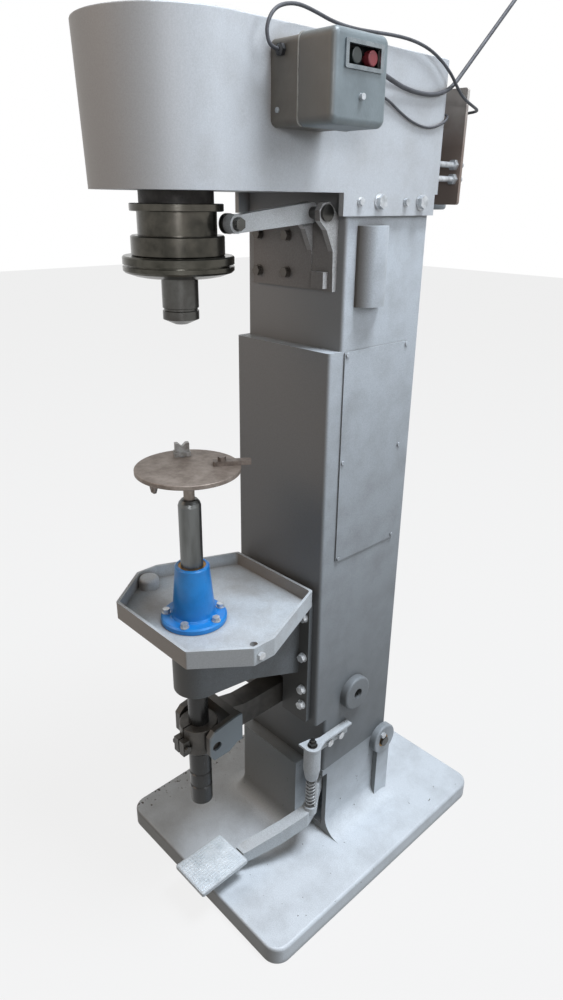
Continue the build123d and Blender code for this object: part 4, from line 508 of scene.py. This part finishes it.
# Can plate and its stops: a slotted steel plate, turned on the lathe, and two small milled stops, each
# clamped through its slot. Handling and juice have browned them, and only the V stop is rubbed bright.
# The rings from the tool are drawn at 2 mm, which is as coarse as they need to show.
def browned_plate(name, worn, brown, ring_mm):
    material, tree = new_material(name)
    where = add(tree, "ShaderNodeTexCoord").outputs["Object"]
    patch_mm = 26.0
    ring_depth_mm = 0.06
    patches = add(tree, "ShaderNodeTexNoise", {"Scale": 1000 / patch_mm, "Detail": 6.0, "Roughness": 0.7},
                  {"Vector": where})
    share = add(tree, "ShaderNodeMapRange", {"From Min": 0.38, "From Max": 0.62},
                {"Value": patches.outputs["Fac"]})
    colour = add(tree, "ShaderNodeMix", {"data_type": "RGBA", 6: srgb(worn), 7: srgb(brown)},
                 {0: share.outputs["Result"]})
    rings = add(tree, "ShaderNodeTexWave",
                {"wave_type": "RINGS", "rings_direction": "Z", "Scale": 314 / ring_mm, "Distortion": 0.6},
                {"Vector": where})
    bump = add(tree, "ShaderNodeBump", {"Distance": ring_depth_mm / 1000, "Strength": 1.0},
               {"Height": rings.outputs["Fac"]})
    shader = add(tree, "ShaderNodeBsdfPrincipled", {"Metallic": 0.45, "Roughness": 0.5},
                 {"Base Color": colour.outputs[2], "Normal": bump.outputs["Normal"]})
    add(tree, "ShaderNodeOutputMaterial", None, {"Surface": shader.outputs["BSDF"]})
    return material


finish(browned_plate("browned_steel_plate", "#90867d", "#72675e", 2.0), "can_plate")
bright_stop = mottled("worn_stop_steel", "#a6a7a6", "#77736e", 0.7, (0.34, 0.5), 12.0, 2.0, 0.1)
finish(bright_stop, "v_stop")
brown_stop = mottled("browned_stop_steel", "#7d736b", "#5b524b", 0.5, (0.4, 0.55), 12.0, 2.0, 0.1)
finish(brown_stop, "arm_stop", "wing_screw")

# Seaming head, shift collar, link plates and pulleys: machined steel under a film of dark oil that
# shines on every rim. The shift collar and the rough iron nose of the bearing cartridge above them sit
# in the head's shade, and take darker colours as painted shade.
oily_steel = mottled("oily_machined_steel", "#58564f", "#3a3933", 0.9, (0.16, 0.28), 40.0, 3.0, 0.03)
finish(oily_steel, "seaming_head", "link_plates", "spindle_pulley", "motor_rotor")
shaded_oily_steel = mottled("shaded_oily_steel", "#55524b", "#33322d", 0.85, (0.18, 0.30), 40.0, 3.0, 0.03)
finish(shaded_oily_steel, "shift_collar")
dark_iron = mottled("shaded_oily_cast_iron", "#3a3733", "#252220", 0.4, (0.4, 0.6), 20.0, 2.5, 0.3)
finish(dark_iron, "bearing_cartridge")

# Seaming lever and its bracket: a forged lever, rubbed pale in use, on a cast bracket that is bolted
# to the column. Painted shade browns the bracket plate's front, which faces away from the light; the
# arms' sides are pale.
lever_paint = aluminium_paint("aluminium_painted_lever", "#cccfcf", "#a8abac", "#6a625a", 0.35, 0.20)
finish(lever_paint, "seam_lever")
bracket_paint = aluminium_paint("shade_browned_bracket_paint", "#d2d3d2", "#adadac", "#544c45", 0.40, 0.82)
finish(bracket_paint, "lever_bracket")

# Clamp collar: a split block of cast iron, clamped on the lift shaft by its bolt and carried by the
# fork on its trunnions. It is rough, and black with grease from the shaft.
greasy_iron = mottled("greasy_cast_iron", "#524f4a", "#302e2b", 0.35, (0.32, 0.5), 45.0, 2.5, 0.3)
finish(greasy_iron, "lift_collar")


# Fork lever: an iron casting whose two cheeks take the collar's trunnions. It is as greasy as the
# collar, but the outside of the right cheek keeps its old blue-grey paint.
def half_painted_iron(name, paint, iron_light, iron_dark, outside_mm):
    material, tree = new_material(name)
    where = add(tree, "ShaderNodeTexCoord").outputs["Object"]
    blotch_mm = 45.0
    paint_edge_mm = 4.0
    grain_mm = 2.5
    grain_depth_mm = 0.3
    blotches = add(tree, "ShaderNodeTexNoise", {"Scale": 1000 / blotch_mm, "Detail": 5.0}, {"Vector": where})
    share = add(tree, "ShaderNodeMapRange", {"From Min": 0.36, "From Max": 0.66},
                {"Value": blotches.outputs["Fac"]})
    iron = add(tree, "ShaderNodeMix", {"data_type": "RGBA", 6: srgb(iron_light), 7: srgb(iron_dark)},
               {0: share.outputs["Result"]})
    outer_side = fade(tree, where, "X", outside_mm, outside_mm + paint_edge_mm, 0.9)
    colour = add(tree, "ShaderNodeMix", {"data_type": "RGBA", 7: srgb(paint)},
                 {0: outer_side, 6: iron.outputs[2]})
    shader = add(tree, "ShaderNodeBsdfPrincipled", {"Metallic": 0.2, "Roughness": 0.45},
                 {"Base Color": colour.outputs[2],
                  "Normal": fine_grain(tree, where, grain_mm, grain_depth_mm)})
    add(tree, "ShaderNodeOutputMaterial", None, {"Surface": shader.outputs["BSDF"]})
    return material


fork_iron = half_painted_iron("half_painted_fork_iron", "#778289", "#524f4a", "#302e2b", 54.0)
finish(fork_iron, "fork_lever")

# Pedal and spring bracket: a forged lever on the cross shaft with a steel pad welded on its end, and
# the bracket that holds the spring. Their aluminium paint is fresh, brightest where boots rub it.
pedal_paint = aluminium_paint("aluminium_painted_pedal", "#d5dbdf", "#b5bcc0", "#7d776f", 0.25, 0.3)
finish(pedal_paint, "pedal_lever", "pedal_pad", "spring_bracket")

# Pad chequer: the pad's top is milled crosswise into small blunt studs, at 7 mm pitch. They are worn
# almost white, and each catches its own light.
pad_low, pad_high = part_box("pedal_pad")
stud_pitch = 0.007
stud_gap = 0.0013
stud_height = 0.0011
pad_margin = 0.0025
chequer_lift = 0.0002
skirt_depth = 0.0012
chequer_across = pad_high.x - pad_low.x - 2 * pad_margin
chequer_along = pad_high.y - pad_low.y - 2 * pad_margin
chequer_shape = bmesh.new()
bmesh.ops.create_grid(chequer_shape, x_segments=round(chequer_across / stud_pitch),
                      y_segments=round(chequer_along / stud_pitch), size=0.5)
bmesh.ops.scale(chequer_shape, vec=(chequer_across, chequer_along, 1), verts=chequer_shape.verts)
bmesh.ops.translate(chequer_shape, vec=((pad_low.x + pad_high.x) / 2, (pad_low.y + pad_high.y) / 2,
                                        pad_high.z + chequer_lift), verts=chequer_shape.verts)
bmesh.ops.inset_individual(chequer_shape, faces=chequer_shape.faces[:], thickness=stud_gap,
                           depth=stud_height)
rim = [edge for edge in chequer_shape.edges if edge.is_boundary]
skirt = bmesh.ops.extrude_edge_only(chequer_shape, edges=rim)
skirt_verts = [item for item in skirt["geom"] if isinstance(item, bmesh.types.BMVert)]
bmesh.ops.translate(chequer_shape, vec=(0, 0, -skirt_depth), verts=skirt_verts)
bmesh.ops.holes_fill(chequer_shape, edges=[edge for edge in chequer_shape.edges if edge.is_boundary])
bmesh.ops.recalc_face_normals(chequer_shape, faces=chequer_shape.faces)
chequer_mesh = bpy.data.meshes.new("pedal_pad_chequer")
chequer_shape.to_mesh(chequer_mesh)
chequer_shape.free()
chequer = place_piece("pedal_pad_chequer", chequer_mesh)
rubbed_steel = mottled("rubbed_pad_steel", "#e6edf2", "#ccd5db", 0.25, (0.36, 0.5), 30.0, 1.5, 0.05)
chequer.data.materials.append(rubbed_steel)
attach(chequer, "pedal")

# Return spring: an open coil of 4.5 mm wire, wound cold and galvanised to a dull pale grey. It hangs
# from the bracket's cup and lifts the pedal, so its turns open when the pedal goes down.
spring_low, spring_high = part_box("return_spring")
spring_centre = (spring_low + spring_high) / 2
spring_wire = 0.0045
spring_radius = (spring_high.x - spring_low.x) / 2 - spring_wire / 2
spring_turns = 7
spring_steps = 24
spring_curve = bpy.data.curves.new("spring_wire", "CURVE")
spring_curve.dimensions = "3D"
spring_curve.bevel_depth = spring_wire / 2
spring_curve.bevel_resolution = 3
spring_curve.use_fill_caps = True
spring_line = spring_curve.splines.new("POLY")
spring_count = spring_turns * spring_steps
spring_line.points.add(spring_count)
spring_bottom = spring_low.z + spring_wire / 2
spring_height = spring_high.z - spring_low.z - spring_wire
for i in range(spring_count + 1):
    angle = 2 * pi * i / spring_steps
    spring_line.points[i].co = (spring_centre.x + spring_radius * cos(angle),
                                spring_centre.y + spring_radius * sin(angle),
                                spring_bottom + spring_height * i / spring_count, 1.0)
spring_curve_piece = bpy.data.objects.new("spring_curve", spring_curve)
spring_mesh = bpy.data.meshes.new_from_object(spring_curve_piece)
bpy.data.objects.remove(spring_curve_piece)
spring = place_piece("return_spring_coil", spring_mesh)
spring_steel = mottled("galvanised_spring_wire", "#9ea1a3", "#7d7f80", 0.6, (0.35, 0.5), 15.0, 1.5, 0.04)
spring.data.materials.clear()
spring.data.materials.append(spring_steel)
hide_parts("return_spring")
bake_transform(spring)

# Bolts of head, guide, motor plate and starter, and the cable hook: pressed steel with a thin bright
# zinc plate, here and there dulled.
zinc_plate = mottled("zinc_plated_steel", "#cfd2d4", "#a2a6a9", 0.6, (0.3, 0.48), 14.0, 2.0, 0.05)
finish(zinc_plate, "head_bolts", "guide_bolts", "tension_bolts", "starter_screws", "cable_hook")


# Column bolts: zinc-plated hexagon bolts that hold the knee, the lever bracket, the spring bracket and
# the pedal shaft's keeper, and plug the drip table. Low down they are bright; those of the lever
# bracket, under the head, are dark with old oil and paint.
def bolts_grimy_above(name, bright, grimy, above_mm):
    material, tree = new_material(name)
    where = add(tree, "ShaderNodeTexCoord").outputs["Object"]
    speck_mm = 25 / 3
    change_mm = 10.0
    specks = add(tree, "ShaderNodeTexNoise", {"Scale": 1000 / speck_mm, "Detail": 4.0}, {"Vector": where})
    stain = add(tree, "ShaderNodeMapRange", {"From Min": 0.45, "From Max": 0.7, "To Max": 0.4},
                {"Value": specks.outputs["Fac"]})
    share = add(tree, "ShaderNodeMath", {"operation": "MAXIMUM"},
                {0: fade(tree, where, "Z", above_mm, above_mm + change_mm), 1: stain.outputs["Result"]})
    colour = add(tree, "ShaderNodeMix", {"data_type": "RGBA", 6: srgb(bright), 7: srgb(grimy)},
                 {0: share.outputs[0]})
    shader = add(tree, "ShaderNodeBsdfPrincipled", {"Metallic": 0.5, "Roughness": 0.4},
                 {"Base Color": colour.outputs[2]})
    add(tree, "ShaderNodeOutputMaterial", None, {"Surface": shader.outputs["BSDF"]})
    return material


finish(bolts_grimy_above("zinc_bolts_grimy_under_head", "#d3d6d8", "#55504a", 1200.0), "column_bolts")

# Screws of the access cover and of the head's lid: small round heads of pressed steel, brushed over
# together with the castings, so that they hardly stand out from them.
finish(machine_paint, "cover_screws", "lid_screws")

# Bearings, bushes and belt: pressed and bored parts held inside the castings, of bearing steel, cast
# bronze and rubber.
finish(turned_steel, "spindle_bearings")
bronze = mottled("cast_bronze", "#9a7744", "#7d5f36", 0.9, (0.32, 0.45), 12.0, 2.0, 0.08)
finish(bronze, "guide_bushes", "pedal_bushes")
finish(rubber_sheath, "drive_belt")
